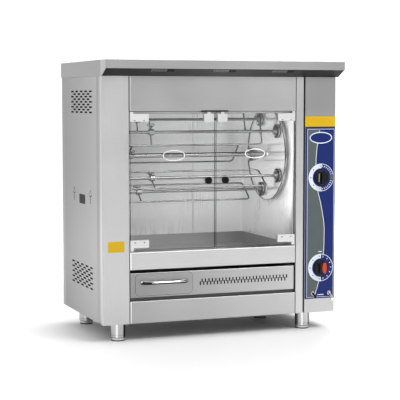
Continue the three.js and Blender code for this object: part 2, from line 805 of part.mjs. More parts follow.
function addSpits(parent) {
  for (let i = 0; i < SPITS; i++) {
    const angle = spitAngle(i);
    const number = i + 1;
    const spit = new THREE.Group();
    spit.position.set(0, AXIS_Y + SPIT_CIRCLE * Math.cos(angle), AXIS_Z + SPIT_CIRCLE * Math.sin(angle));
    parent.add(spit);
    add(spit, `spit_drive_${number}`, spitDrive(angle), finishes.chrome);
    add(spit, `spit_rod_${number}`, spitRod(), finishes.chrome);
    const fork = add(spit, `spit_fork_${number}`, spitFork(), finishes.chrome);
    fork.rotation.x = -THREE.MathUtils.degToRad(FORK_TILTS[i]);
  }
}

// The socket that grips the spit, its stub axle through the wheel and its planet gear.
function spitDrive(angle) {
  const bore = ROD_RADIUS + FIT;
  const boreEnd = SOCKET_LEFT + SOCKET_DEPTH;
  const socketRight = RIGHT_WHEEL_X - FIT;
  const profile = [
    [boreEnd, 0],
    [boreEnd, bore],
    [SOCKET_LEFT, bore],
    [SOCKET_LEFT, bore + SOCKET_LIP],
    [SOCKET_LEFT + SOCKET_CONE, SOCKET_RADIUS - SOCKET_LIP],
    [SOCKET_LEFT + SOCKET_SHOULDER, SOCKET_RADIUS],
    [socketRight, SOCKET_RADIUS],
    [socketRight, STUB_RADIUS],
    [GEAR_LEFT + 1, STUB_RADIUS],
    [GEAR_LEFT + 1, 0],
  ];
  const facingSun = angle + Math.PI + Math.PI / PLANET_TEETH;
  const gear = sheetFacingX(gearShape(PLANET_TEETH, facingSun), GEAR_LEFT, GEAR_WIDTH);
  return join(turned(profile, 12), gear);
}

function spitRod() {
  const right = SOCKET_LEFT + SOCKET_DEPTH - FIT;
  return cylinder('x', ROD_RADIUS, ROD_LEFT, right, 10);
}

// A long U of wire beside the rod, held by a clamp with a wing screw.
function spitFork() {
  const aside = ROD_RADIUS + FORK_WIRE + FIT;
  const corners = [
    new THREE.Vector3(FORK_LEFT, aside, FORK_HALF_WIDTH),
    new THREE.Vector3(FORK_RIGHT, aside, FORK_HALF_WIDTH),
    new THREE.Vector3(FORK_RIGHT, aside, -FORK_HALF_WIDTH),
    new THREE.Vector3(FORK_LEFT, aside, -FORK_HALF_WIDTH),
  ];
  const frame = wire(corners, FORK_BEND, FORK_WIRE, 6);
  const crossbar = cylinder('z', FORK_WIRE - 0.5, -FORK_HALF_WIDTH, FORK_HALF_WIDTH, 6);
  crossbar.translate(CLAMP_X, aside, 0);
  const collar = cylinder('x', COLLAR_RADIUS, CLAMP_X - COLLAR_HALF, CLAMP_X + COLLAR_HALF, 10);
  const boreRadius = ROD_RADIUS + 2 * FIT;
  const bore = cylinder('x', boreRadius, CLAMP_X - 2 * COLLAR_HALF, CLAMP_X + 2 * COLLAR_HALF, 10);
  return cut(join(frame, crossbar, collar, wingScrew().translate(CLAMP_X, -1, 0)), bore);
}

// A screw standing up from the rod, with a wing at each side.
function wingScrew() {
  const half = WING_THICKNESS / 2;
  const webHalf = WING_SCREW_RADIUS + 1;
  const webTop = WING_SCREW_TOP - 1;
  return join(
    cylinder('z', WING_SCREW_RADIUS, ROD_RADIUS + 2, WING_SCREW_TOP, 6),
    box(-WING_REACH, -half, WING_BOTTOM, -1, half, WING_TOP),
    box(1, -half, WING_BOTTOM, WING_REACH, half, WING_TOP),
    box(-webHalf, -half, WING_BOTTOM - 1, webHalf, half, webTop),
  );
}

// ---------------------------------------------------------------- doors

function addDoors(parent) {
  const halfGap = DOOR_GAP / 2;
  addDoor(parent, 'left', DOOR_EDGE_LEFT, DOOR_MEETING - halfGap, 1);
  addDoor(parent, 'right', DOOR_EDGE_RIGHT, DOOR_MEETING + halfGap, -1);
}

// One frameless door. inward is the direction along X from its hinge edge to its free edge.
function addDoor(parent, side, hingeEdge, freeEdge, inward) {
  const pane = box(
    Math.min(hingeEdge, freeEdge),
    GLASS_FRONT,
    GLASS_BOTTOM,
    Math.max(hingeEdge, freeEdge),
    GLASS_FRONT + GLASS_THICKNESS,
    GLASS_TOP,
  );
  const steel = finishes.brushedSteel;
  const catchOuter = freeEdge - inward * CATCH_INSET;
  const doorCatch = catchPlates(catchOuter, catchOuter - inward * CATCH_LENGTH);
  const knob = doorKnob().translate(freeEdge - inward * KNOB_INSET, 0, KNOB_Z);
  add(parent, `${side}_door_glass`, pane, finishes.glass);
  add(parent, `${side}_door_top_hinge`, hingeClamp(hingeEdge, inward, true), steel);
  add(parent, `${side}_door_bottom_hinge`, hingeClamp(hingeEdge, inward, false), steel);
  add(parent, `${side}_door_catch`, doorCatch, steel);
  add(parent, `${side}_door_knob`, knob, finishes.blackPlastic);
}

// Two plates over the face and back of the glass. A narrow saddle from saddleA to saddleB joins them
// round the glass's top or bottom edge: plateEdge is where the plates end towards that edge of the
// glass, plateEnd their other end, and saddleEnd the far side of the saddle.
function edgeClamp(xa, xb, saddleA, saddleB, plateEdge, plateEnd, saddleEnd, glassEdge) {
  const front = GLASS_FRONT - FIT - PLATE;
  const back = GLASS_FRONT + GLASS_THICKNESS + FIT + PLATE;
  const beyond = plateEnd + BEYOND * Math.sign(plateEnd - plateEdge);
  const plates = span(xa, xb, front, back, plateEdge, plateEnd);
  const saddle = span(saddleA, saddleB, front, back, plateEnd, saddleEnd);
  const reach = CASING_WIDTH;
  return cut(join(plates, saddle), span(-reach, reach, front + PLATE, back - PLATE, beyond, glassEdge));
}

// A box between coordinates given in either order.
function span(xa, xb, ya, yb, za, zb) {
  return box(
    Math.min(xa, xb),
    Math.min(ya, yb),
    Math.min(za, zb),
    Math.max(xa, xb),
    Math.max(ya, yb),
    Math.max(za, zb),
  );
}

// The hinge clamp holds the glass and turns on a pin that stands in the casing.
function hingeClamp(hingeEdge, inward, atTop) {
  const start = hingeEdge - inward;
  const end = start + inward * HINGE_LENGTH;
  const saddleB = start + inward * SADDLE_WIDTH;
  const out = atTop ? 1 : -1;
  const plateEdge = atTop ? TOP_PLATE_EDGE : BOTTOM_PLATE_EDGE;
  const plateEnd = plateEdge - out * PLATE_HEIGHT;
  const glassEdge = (atTop ? GLASS_TOP : GLASS_BOTTOM) + out * FIT;
  const saddleEnd = glassEdge + out * SADDLE_CAP;
  const clamp = edgeClamp(start, end, start, saddleB, plateEdge, plateEnd, saddleEnd, glassEdge);
  const seat = atTop ? LINTEL - FIT : SILL_TOP + FIT;
  const pinRoot = saddleEnd - out;
  const pin = cylinder('z', HINGE_PIN_RADIUS, Math.min(seat, pinRoot), Math.max(seat, pinRoot), 10);
  pin.translate(hingeEdge + inward * HINGE_INSET, GLASS_FRONT + GLASS_THICKNESS / 2, 0);
  return join(clamp, pin);
}

// The steel plates that the catch bar's magnet holds.
function catchPlates(xa, xb) {
  const middle = (xa + xb) / 2;
  const half = SADDLE_WIDTH / 2;
  const plateEnd = CATCH_EDGE - PLATE_HEIGHT - 2;
  const glassEdge = GLASS_TOP + FIT;
  const left = middle - half;
  const right = middle + half;
  return edgeClamp(xa, xb, left, right, CATCH_EDGE, plateEnd, CATCH_SADDLE_TOP, glassEdge);
}

function doorKnob() {
  const face = GLASS_FRONT - FIT;
  const neck = face - KNOB_FOOT_LENGTH;
  const foot = cylinder('y', KNOB_FOOT_RADIUS, neck, face, 10);
  const grip = cylinder('y', KNOB_RADIUS, face - KNOB_LENGTH, neck + 1, 10);
  return join(foot, grip);
}

// ---------------------------------------------------------------- drawer

function addDrawer(parent) {
  add(parent, 'drawer_box', drawerBox(), finishes.brushedSteel);
  add(parent, 'drawer_handle', drawerHandle(), finishes.chrome);
}

function drawerBox() {
  const floor = DRAWER_BOTTOM + 1 + FIT;
  const inLeft = TRAY_LEFT + SHEET;
  const inRight = TRAY_RIGHT - SHEET;
  const shell = box(TRAY_LEFT, SHEET / 2, floor, TRAY_RIGHT, TRAY_BACK, TRAY_TOP);
  const hollow = box(inLeft, SHEET, floor + SHEET, inRight, TRAY_BACK - SHEET, TRAY_TOP + BEYOND);
  const body = join(
    box(BAY_LEFT, 0, DRAWER_BOTTOM, DRAWER_RIGHT, SHEET, DRAWER_TOP),
    cut(shell, hollow),
    box(BAY_LEFT, 0, DRAWER_TOP - SHEET, DRAWER_RIGHT, RETURN_DEPTH, DRAWER_TOP),
  );
  return cut(body, ...drawerVents());
}

// Two staggered rows of short upright slots in the drawer's face.
function drawerVents() {
  const vents = [];
  for (let row = 0; row < 2; row++) {
    const z0 = DRAWER_VENT_BOTTOM + row * DRAWER_VENT_ROW_RISE;
    for (let i = 0; i < DRAWER_VENTS_PER_ROW; i++) {
      const x0 = DRAWER_VENT_LEFT + (i + row / 2) * DRAWER_VENT_PITCH;
      const x1 = x0 + DRAWER_VENT_WIDTH;
      vents.push(box(x0, -BEYOND, z0, x1, SHEET + BEYOND, z0 + DRAWER_VENT_HEIGHT));
    }
  }
  return vents;
}

// A bowed bar standing on two feet.
function drawerHandle() {
  const shoulder = -HANDLE_REACH * 0.8;
  const middle = (HANDLE_LEFT + HANDLE_RIGHT) / 2;
  const corners = [
    new THREE.Vector3(HANDLE_LEFT, -FIT, HANDLE_Z),
    new THREE.Vector3(HANDLE_LEFT, shoulder, HANDLE_Z),
    new THREE.Vector3(middle, -HANDLE_REACH, HANDLE_Z),
    new THREE.Vector3(HANDLE_RIGHT, shoulder, HANDLE_Z),
    new THREE.Vector3(HANDLE_RIGHT, -FIT, HANDLE_Z),
  ];
  const bar = wire(corners, HANDLE_BEND, HANDLE_RADIUS, 8);
  const feet = [HANDLE_LEFT, HANDLE_RIGHT].map((x) => {
    const foot = cylinder('y', HANDLE_FOOT_RADIUS, -HANDLE_FOOT_LENGTH, -FIT, 12);
    return foot.translate(x, 0, HANDLE_Z);
  });
  return join(bar, ...feet);
}

// ---------------------------------------------------------------- controls

function addControls(parent) {
  const black = finishes.blackPlastic;
  const front = -FIT - FASCIA_SHEET;
  const seat = front - FIT;
  const left = BOX_LEFT + FASCIA_MARGIN;
  const right = CASING_WIDTH - FASCIA_MARGIN;
  const fascia = box(left, front, FASCIA_BOTTOM, right, -FIT, FASCIA_TOP);
  const upperDial = dialKnob(UPPER_DIAL_RADIUS).translate(DIAL_X, seat, UPPER_DIAL_Z);
  const lowerDial = dialKnob(LOWER_DIAL_RADIUS).translate(DIAL_X, seat, LOWER_DIAL_Z);
  const leftSwitch = toggleSwitch(SHORT_LEVER).translate(LEFT_SWITCH_X, seat, SWITCH_Z);
  const rightSwitch = toggleSwitch(LONG_LEVER).translate(RIGHT_SWITCH_X, seat, SWITCH_Z);
  add(parent, 'control_fascia', fascia, finishes.fascia);
  add(parent, 'upper_dial_knob', upperDial, black);
  add(parent, 'lower_dial_knob', lowerDial, black);
  add(parent, 'left_toggle_switch', leftSwitch, black);
  add(parent, 'right_toggle_switch', rightSwitch, finishes.chrome);
}

// A round knob with a raised bar to turn it by. The bar's sizes are shares of the knob's.
function dialKnob(radius) {
  const skirtTop = -DIAL_HEIGHT * 0.7;
  const gripHalfWidth = radius * 0.28;
  const gripHalfLength = radius * 0.8;
  const gripFoot = -DIAL_HEIGHT * 0.6;
  const skirt = cylinder('y', radius - 3, skirtTop, 0, 20, radius);
  const gripTop = -DIAL_HEIGHT;
  const grip = box(-gripHalfWidth, gripTop, -gripHalfLength, gripHalfWidth, gripFoot, gripHalfLength);
  return join(skirt, grip);
}

// A lever with a round root, resting in its down position.
function toggleSwitch(lever) {
  const root = new THREE.SphereGeometry(SWITCH_ROOT_RADIUS, 10, 8);
  const tip = SWITCH_ROOT_RADIUS - lever.length;
  const bar = cylinder('y', lever.radius, tip, 3, 8, lever.rootRadius);
  bar.rotateX(lever.tilt);
  return join(root, bar).translate(0, -SWITCH_ROOT_RADIUS, 0);
}

// ---------------------------------------------------------------- legs

function addLegs(parent) {
  for (const [place, [x, y]] of Object.entries(LEG_PLACES)) {
    add(parent, `leg_${place}`, legTube().translate(x, y, 0), finishes.chrome);
    add(parent, `foot_${place}`, legFoot().translate(x, y, 0), finishes.darkSteel);
  }
}

// A tube fixed under the casing.
function legTube() {
  const tube = cylinder('z', LEG_RADIUS, LEG_BOTTOM, SHEET, 16);
  return cut(tube, cylinder('z', STEM_BORE_RADIUS, LEG_BOTTOM - BEYOND, STEM_BORE_TOP, 12));
}

// A foot on a threaded stem that screws down out of its leg.
function legFoot() {
  const foot = cylinder('z', FOOT_RADIUS, -LEG_HEIGHT, LEG_BOTTOM - FOOT_GAP, 16);
  return join(foot, cylinder('z', STEM_RADIUS, 1 - LEG_HEIGHT, STEM_TOP, 12));
}

// ---------------------------------------------------------------- the whole oven

const oven = new THREE.Group();
oven.position.set(
  (HOOD_LEFT - CASING_WIDTH - HOOD_RIGHT) / 2,
  (HOOD_FRONT - CASING_DEPTH - HOOD_REAR) / 2,
  LEG_HEIGHT,
);

addCasing(oven);
addChamber(oven);
addDrive(oven);
addSpits(oven);
addDoors(oven);
addDrawer(oven);
addControls(oven);
addLegs(oven);

const group = new THREE.Group();
group.add(oven);
export default group;
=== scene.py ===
import math

import bmesh
import bpy
from mathutils import Matrix, Vector


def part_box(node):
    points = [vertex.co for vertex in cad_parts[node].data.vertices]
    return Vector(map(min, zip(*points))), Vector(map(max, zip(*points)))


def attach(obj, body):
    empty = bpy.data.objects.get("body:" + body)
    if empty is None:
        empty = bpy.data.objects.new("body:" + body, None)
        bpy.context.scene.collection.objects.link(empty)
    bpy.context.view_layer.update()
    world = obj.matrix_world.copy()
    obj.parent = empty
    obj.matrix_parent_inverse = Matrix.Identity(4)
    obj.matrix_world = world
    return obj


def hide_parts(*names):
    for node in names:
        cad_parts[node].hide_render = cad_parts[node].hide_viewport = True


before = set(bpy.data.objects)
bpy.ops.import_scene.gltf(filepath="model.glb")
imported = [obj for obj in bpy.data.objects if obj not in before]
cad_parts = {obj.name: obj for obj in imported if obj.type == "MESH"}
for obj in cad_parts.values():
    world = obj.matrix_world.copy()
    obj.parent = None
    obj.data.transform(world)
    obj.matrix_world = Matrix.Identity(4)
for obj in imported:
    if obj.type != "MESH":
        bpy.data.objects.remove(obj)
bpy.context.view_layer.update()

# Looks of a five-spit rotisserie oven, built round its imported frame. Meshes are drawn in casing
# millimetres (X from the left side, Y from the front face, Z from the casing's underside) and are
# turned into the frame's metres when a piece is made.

MM = 0.001
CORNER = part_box("left_front_column")[0]
TO_FRAME = Matrix.Translation(CORNER) @ Matrix.Scale(MM, 4)


def at(x, y, z):
    """A place in casing millimetres, as a place in the frame."""
    return CORNER + Vector((x, y, z)) * MM


def extent(node):
    """A node's lowest and highest corner in casing millimetres."""
    return tuple((corner - CORNER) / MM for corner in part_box(node))


def middle(node):
    low, high = extent(node)
    return (low + high) / 2


# ---------------------------------------------------------------- shader nodes


def add_node(tree, kind, inputs, **settings):
    """A shader node with its settings made first, and each input then set to a value or linked."""
    made = tree.nodes.new("ShaderNode" + kind)
    for name, value in settings.items():
        setattr(made, name, value)
    for key, value in inputs.items():
        if isinstance(value, bpy.types.NodeSocket):
            tree.links.new(value, made.inputs[key])
        else:
            made.inputs[key].default_value = value
    return made


def worked_out(tree, operation, *values):
    return add_node(tree, "Math", dict(enumerate(values)), operation=operation).outputs[0]


def place_on_piece(tree):
    return add_node(tree, "TexCoord", {}).outputs["Object"]


def noise(tree, stretch, detail=3.0):
    """Noise over the piece, with the given number of cells to the metre along X, Y and Z."""
    mapping = add_node(tree, "Mapping", {"Vector": place_on_piece(tree), "Scale": stretch})
    inputs = {"Vector": mapping.outputs["Vector"], "Scale": 1, "Detail": detail}
    return add_node(tree, "TexNoise", inputs).outputs[0]


def ranged(tree, value, from_low, from_high, to_low, to_high, fade="LINEAR"):
    inputs = {
        "Value": value, "From Min": from_low, "From Max": from_high, "To Min": to_low, "To Max": to_high
    }
    return add_node(tree, "MapRange", inputs, interpolation_type=fade).outputs["Result"]


def summed(tree, a, b, share):
    """a plus share of b."""
    return worked_out(tree, "MULTIPLY_ADD", b, share, a)


def distance_along(tree, place, direction):
    """How far a place lies along a direction."""
    inputs = {0: place, 1: direction}
    return add_node(tree, "VectorMath", inputs, operation="DOT_PRODUCT").outputs["Value"]


def blended(tree, factor, low, high):
    """A colour between low and high."""
    inputs = {0: factor, 6: (*low, 1), 7: (*high, 1)}
    return add_node(tree, "Mix", inputs, data_type="RGBA").outputs[2]


def bumped(tree, shader, height, strength, distance):
    inputs = {"Height": height, "Strength": strength, "Distance": distance}
    tree.links.new(add_node(tree, "Bump", inputs).outputs["Normal"], shader.inputs["Normal"])


# ---------------------------------------------------------------- camera, light and floor

CAMERA_PLACE = (-1.945, -5.06305, 0.95121)
CAMERA_YAW = 21.039
CAMERA_PITCH = 4.452
CAMERA_LENS = 116.83
CAMERA_SENSOR = 36

AMBIENT = 0.66
# Soft reflections in the studio's walls: where each lies, the degrees over which it fades, its gain.
STUDIO_ZONES = (
    ((0.36, 0.93, 0.0), 22, 48, 0.53),
    ((-0.91, -0.34, 0.15), 12, 32, 0.35),
    ((1.0, 0.0, 0.05), 18, 38, -0.6),
)
FLOOR_REACH = 6.5


def add_camera():
    data = bpy.data.cameras.new("camera")
    data.sensor_width = CAMERA_SENSOR
    data.lens = CAMERA_LENS
    data.clip_end = 100
    camera = bpy.data.objects.new("camera", data)
    camera.location = CAMERA_PLACE
    camera.rotation_euler = (math.radians(90 - CAMERA_PITCH), 0, -math.radians(CAMERA_YAW))
    bpy.context.scene.collection.objects.link(camera)
    bpy.context.scene.camera = camera


def add_light(name, place, aim, size, power, mirrored=True):
    data = bpy.data.lights.new(name, "AREA")
    data.shape = "RECTANGLE"
    data.size, data.size_y = size
    data.energy = power
    light = bpy.data.objects.new(name, data)
    light.location = place
    direction = Vector(aim) - Vector(place)
    light.rotation_euler = direction.to_track_quat("-Z", "Y").to_euler()
    light.visible_glossy = mirrored
    bpy.context.scene.collection.objects.link(light)


def add_sky():
    world = bpy.data.worlds.new("studio")
    bpy.context.scene.world = world
    world.use_nodes = True
    tree = world.node_tree
    direction = add_node(tree, "TexCoord", {}).outputs["Generated"]
    glow = AMBIENT
    for toward, inner, outer, gain in STUDIO_ZONES:
        nearness = distance_along(tree, direction, Vector(toward).normalized())
        ends = math.cos(math.radians(outer)), math.cos(math.radians(inner))
        zone = ranged(tree, nearness, *ends, 0, 1, "SMOOTHSTEP")
        glow = summed(tree, glow, zone, gain)
    background = tree.nodes["Background"]
    background.inputs["Color"].default_value = (1, 1, 1, 1)
    tree.links.new(glow, background.inputs["Strength"])


def add_studio():
    add_sky()
    add_light("key_softbox", (1.4, -3.2, 3.6), (0, -1.0, 0), (2.4, 2.0), 120)
    add_light("left_softbox", (-3.4, -1.0, 2.4), (-0.6, 0, 0.3), (1.6, 2.0), 22)
    add_light("back_softbox", (1.5, 4.5, 4.0), (1.0, 4.0, 0), (5.0, 4.0), 260)
    add_light("chamber_fill", at(466, 14, 620), at(466, 500, 660), (0.68, 0.44), 3.75, False)
    add_light("wheel_gap_fill", at(798, 45, 640), at(900, 45, 640), (0.05, 0.40), 0.04, False)
    corners = [(-1, -1), (1, -1), (1, 1), (-1, 1)]
    mesh = bpy.data.meshes.new("floor")
    mesh.from_pydata([(FLOOR_REACH * x, FLOOR_REACH * y, 0) for x, y in corners], [], [(0, 1, 2, 3)])
    mesh.materials.append(FLOOR_FINISH)
    floor = bpy.data.objects.new("floor", mesh)
    bpy.context.scene.collection.objects.link(floor)
    bpy.context.scene.view_settings.view_transform = "Standard"


# ---------------------------------------------------------------- finishes

# How many streaks, or grains, to the metre along X, Y and Z.
UPRIGHT = (900, 900, 9)
LEVEL = (9, 900, 900)
EVEN = (420, 420, 420)
STEEL_CLOUDS = (3.1, 3.1, 3.1)
STEEL_SCUFFS = (37, 61, 43)
PLASTIC_CLOUDS = (19, 19, 19)
FINGERMARKS = (14, 14, 14)
FILM_COLOUR = (0.9, 0.93, 0.93, 1)
HEAD_ON_MIRROR = 0.035


def new_finish(name):
    made = bpy.data.materials.new(name)
    made.use_nodes = True
    return made, made.node_tree, made.node_tree.nodes["Principled BSDF"]


def tones(tone, spread):
    """Two tones of one colour or grey, spread apart by that share of it."""
    colour = tone if isinstance(tone, tuple) else (tone, tone, tone)
    return tuple(c * (1 - spread) for c in colour), tuple(min(1, c * (1 + spread)) for c in colour)


def with_painted_light(tree, colour, centre, slope, peaked=False):
    """colour with painted light and shade: made brighter by that share of it for each metre along slope,
    away from centre, or where it is peaked, darker on both sides of centre."""
    start = Vector(centre).dot(Vector(slope))
    offset = worked_out(tree, "SUBTRACT", distance_along(tree, place_on_piece(tree), slope), start)
    if peaked:
        share = worked_out(tree, "SUBTRACT", 1, worked_out(tree, "ABSOLUTE", offset))
    else:
        share = worked_out(tree, "ADD", 1, offset)
    return add_node(tree, "VectorMath", {0: colour, "Scale": share}, operation="SCALE").outputs[0]


def metal(name, tone, roughness, grain, spread=0.05, wander=0.05, strength=0.25, metallic=1.0, painted_light=None):
    """Rolled or ground metal. spread and wander are how far its tone and gloss vary, and painted_light is
    the centre and slope of painted light and shade, a gradient in its tone."""
    made, tree, shader = new_finish(name)
    shader.inputs["Metallic"].default_value = metallic
    streaks = noise(tree, grain, 4)
    clouds = noise(tree, STEEL_CLOUDS, 2)
    scuffs = ranged(tree, noise(tree, STEEL_SCUFFS, 5), 0.6, 0.78, 0, 1)
    mottle = summed(tree, clouds, streaks, 0.6)
    colour = blended(tree, ranged(tree, mottle, 0.5, 1.1, 0, 1), *tones(tone, spread))
    if painted_light:
        colour = with_painted_light(tree, colour, *painted_light)
    tree.links.new(colour, shader.inputs["Base Color"])
    gloss = ranged(tree, mottle, 0.5, 1.1, roughness - wander, roughness + wander)
    tree.links.new(summed(tree, gloss, scuffs, wander), shader.inputs["Roughness"])
    bumped(tree, shader, streaks, strength, 0.02 * MM)
    return made


def plastic(name, tone, roughness, pores=900, spread=0.12, strength=0.2, coat=0.0, shine=0.5):
    """Moulded plastic, paint or rubber with a fine skin."""
    made, tree, shader = new_finish(name)
    wander = 0.06
    skin = noise(tree, (pores, pores, pores), 2)
    clouds = noise(tree, PLASTIC_CLOUDS, 3)
    tree.links.new(blended(tree, clouds, *tones(tone, spread)), shader.inputs["Base Color"])
    gloss = ranged(tree, clouds, 0.3, 0.7, roughness - wander, roughness + wander)
    tree.links.new(summed(tree, gloss, skin, wander), shader.inputs["Roughness"])
    shader.inputs["Coat Weight"].default_value = coat
    shader.inputs["Specular IOR Level"].default_value = shine
    bumped(tree, shader, skin, strength, 0.1 * MM)
    return made


def printed_ink(name, tone, roughness=0.34, spread=0.03, strength=0.05, shine=0.2):
    return plastic(name, tone, roughness, 500, spread, strength, shine=shine)


def pane(name, tint, haze):
    """Clear glass that lets lamps through, with fingermarks in its gloss."""
    made, tree, shader = new_finish(name)
    tree.nodes.remove(shader)
    marks = noise(tree, FINGERMARKS, 4)
    through = add_node(tree, "BsdfTransparent", {"Color": (*tint, 1)})
    film = add_node(tree, "BsdfDiffuse", {"Color": FILM_COLOUR})
    mirror = add_node(tree, "BsdfGlossy", {"Roughness": ranged(tree, marks, 0.45, 0.75, 0.02, 0.12)})
    dust = ranged(tree, marks, 0.3, 0.8, haze * 0.4, haze)
    dusty = add_node(tree, "MixShader", {0: dust, 1: through.outputs[0], 2: film.outputs[0]})
    facing = add_node(tree, "LayerWeight", {"Blend": 0.5}).outputs["Facing"]
    share = ranged(tree, worked_out(tree, "POWER", facing, 5), 0, 1, HEAD_ON_MIRROR, 1)
    glass = add_node(tree, "MixShader", {0: share, 1: dusty.outputs[0], 2: mirror.outputs[0]})
    tree.links.new(glass.outputs[0], tree.nodes["Material Output"].inputs["Surface"])
    return made


FLOOR_FINISH = plastic("studio_floor", 0.94, 0.6, 60, 0.01, 0.02, shine=0.1)
# The brushed_steel finishes below are one steel: their own base tones, from 0.34 to 0.60, and their
# painted_light slopes are painted light and shade, panel by panel.
STEEL = metal("brushed_steel", 0.60, 0.34, UPRIGHT, 0.08)
STEEL_LEVEL = metal("brushed_steel_level", 0.48, 0.36, LEVEL, 0.09, painted_light=(at(466, 0, 500), (0.27, 0, 0)))
STEEL_SILL = metal("brushed_steel_sill", 0.60, 0.34, LEVEL, 0.07)
STEEL_DRAWER = metal("brushed_steel_drawer", 0.42, 0.35, LEVEL, 0.10, painted_light=(at(466, 0, 150), (0.7, 0, 0)))
STEEL_PLATE = metal("brushed_steel_plate", 0.34, 0.35, LEVEL, 0.06, painted_light=(at(252, 0, 150), (0.6, 0, 0)))
STEEL_BOX = metal("brushed_steel_box", 0.47, 0.36, UPRIGHT, 0.07, painted_light=(at(930, 0, 500), (0, 0, -0.35)))
STEEL_HOOD = metal("brushed_steel_hood", 0.42, 0.38, LEVEL, 0.07)
# Painted light and shade on the left side: brighter towards the front and the top.
SIDE_PAINTED_LIGHT = (at(0, 270, 480), (0, -0.9, 0.25))
STEEL_SIDE = metal("brushed_steel_side", 0.385, 0.36, UPRIGHT, 0.07, painted_light=SIDE_PAINTED_LIGHT)
STEEL_REAR = metal("brushed_steel_rear", 0.38, 0.42, UPRIGHT, 0.07)
STEEL_BRIGHT = metal("satin_clamp_steel", 0.74, 0.42, EVEN)
# Painted shade under the canopy: near-black steel, darker still towards both ends.
CANOPY_PAINTED_SHADE = (at(480, -60, 980), (1.75, 0, 0), True)
SHADE_STEEL = metal("shaded_canopy_steel", 0.10, 0.45, LEVEL, painted_light=CANOPY_PAINTED_SHADE)
# Painted shade and light in slots and vents: near-black cut walls and backing plates, and pale patches. The
# near black is also the lifting marks' print.
SHADE_AND_PRINT_BLACK = plastic("slot_interior", 0.008, 0.8, shine=0.1)
SLOT_PAINTED_LIGHT = plastic("painted_light_slot_patch", 0.45, 0.6, 300, shine=0.3)
# Painted light on the chamber's steel: brighter towards the right and the top.
LINER_PAINTED_LIGHT = (at(466, 560, 600), (1.1, 0, 0.3))
LINER = metal("chamber_steel", 0.66, 0.28, UPRIGHT, 0.006, 0.012, 0.004, 0.45, LINER_PAINTED_LIGHT)
CEILING_STEEL = metal("near_black_ceiling_steel", (0.06, 0.058, 0.055), 0.45, EVEN, 0.2)
# Painted shade: the base pan is near black, which keeps the floor under the casing dark.
BASE_STEEL = metal("painted_shade_base_pan_steel", 0.14, 0.5, EVEN)
# Painted light and shade in the floor pan: its upright walls are darker steel, its upward faces lighter.
PAN_WALL_SHADE_STEEL = metal("pan_wall_painted_shade_steel", (0.355, 0.35, 0.345), 0.34, LEVEL, 0.14)
PAN_FLOOR = metal("pan_floor_painted_light_steel", (0.62, 0.615, 0.61), 0.32, LEVEL, 0.10)
WHEEL_STEEL = metal("polished_wheel_steel", 0.95, 0.07, EVEN, 0.02, 0.03, 0.02, 0.7)
ROD_STEEL = metal("spit_steel", 0.25, 0.08, EVEN, strength=0.05)
CLAMP_STEEL = metal("spit_clamp_steel", 0.36, 0.2, EVEN, strength=0.1)
CHROME = metal("chrome", 0.72, 0.07, EVEN, 0.03, 0.03, 0.04)
# Bright chrome for the right toggle's lever; also painted highlights on the legs and along the level panels'
# edges.
BRIGHT_CHROME_AND_HIGHLIGHT = metal("bright_chrome_and_painted_highlight", 0.92, 0.16, EVEN, 0.03, 0.03, 0.04)
SHAFT_STEEL = metal("ground_shaft_steel", 0.42, 0.08, EVEN, 0.03, 0.03, 0.04)
LEG_STEEL = metal("leg_steel", 0.50, 0.16, UPRIGHT, 0.06, strength=0.08)
# Painted dark reflections on the legs, the spit sockets and the right wheel's rim.
PAINTED_DARK_REFLECTION = metal("painted_dark_reflection_chrome", 0.05, 0.10, EVEN, 0.12, strength=0.1)
GAP_SHADE = metal("shaded_gap_steel", 0.09, 0.5, EVEN)
GEAR_STEEL = metal("machined_gear_steel", 0.42, 0.36, EVEN, 0.15)
GLASS = pane("door_glass", (0.985, 0.99, 0.987), 0.015)
GLASS_EDGE = plastic("glass_edge", (0.035, 0.042, 0.04), 0.12, 200, coat=0.5)
NAVY = printed_ink("navy_print", (0.006, 0.018, 0.125), 0.30, 0.05, 0.08)
GREY_GREEN = printed_ink("grey_green_print", (0.085, 0.105, 0.105), 0.34, 0.05, 0.08)
PALE = printed_ink("pale_print", (0.50, 0.54, 0.74))
GLASS_PRINT = printed_ink("white_glass_print", 0.95, 0.4, 0.02, shine=0.5)
WHITE = printed_ink("white_print", (0.66, 0.70, 0.78))
YELLOW = plastic("yellow_vinyl", (0.58, 0.36, 0.006), 0.42, 260, 0.04, 0.1, shine=0.2)
BLACK = plastic("black_moulding", 0.005, 0.28, 1400, 0.3, 0.25, shine=0.22)
MATT_BLACK = plastic("matt_black_moulding", 0.004, 0.42, 1400, 0.3, shine=0.1)
RED = plastic("red_lens", (0.55, 0.035, 0.01), 0.18, 500, 0.08, shine=0.35)
SILVER_INLAY = metal("silver_inlay", (0.70, 0.66, 0.52), 0.25, EVEN)
RUBBER = plastic("foot_rubber", 0.015, 0.62, 700, strength=0.4, shine=0.2)
HEATER = plastic("oxidised_sheath", (0.04, 0.036, 0.033), 0.62, 500, 0.35, 0.5)
CASTING = plastic("painted_casting", (0.10, 0.11, 0.12), 0.5, 420, 0.2, 0.6)

# ---------------------------------------------------------------- mesh making

SHEET = 1.5
HALF = SHEET / 2
MOST_FINISHES = 4


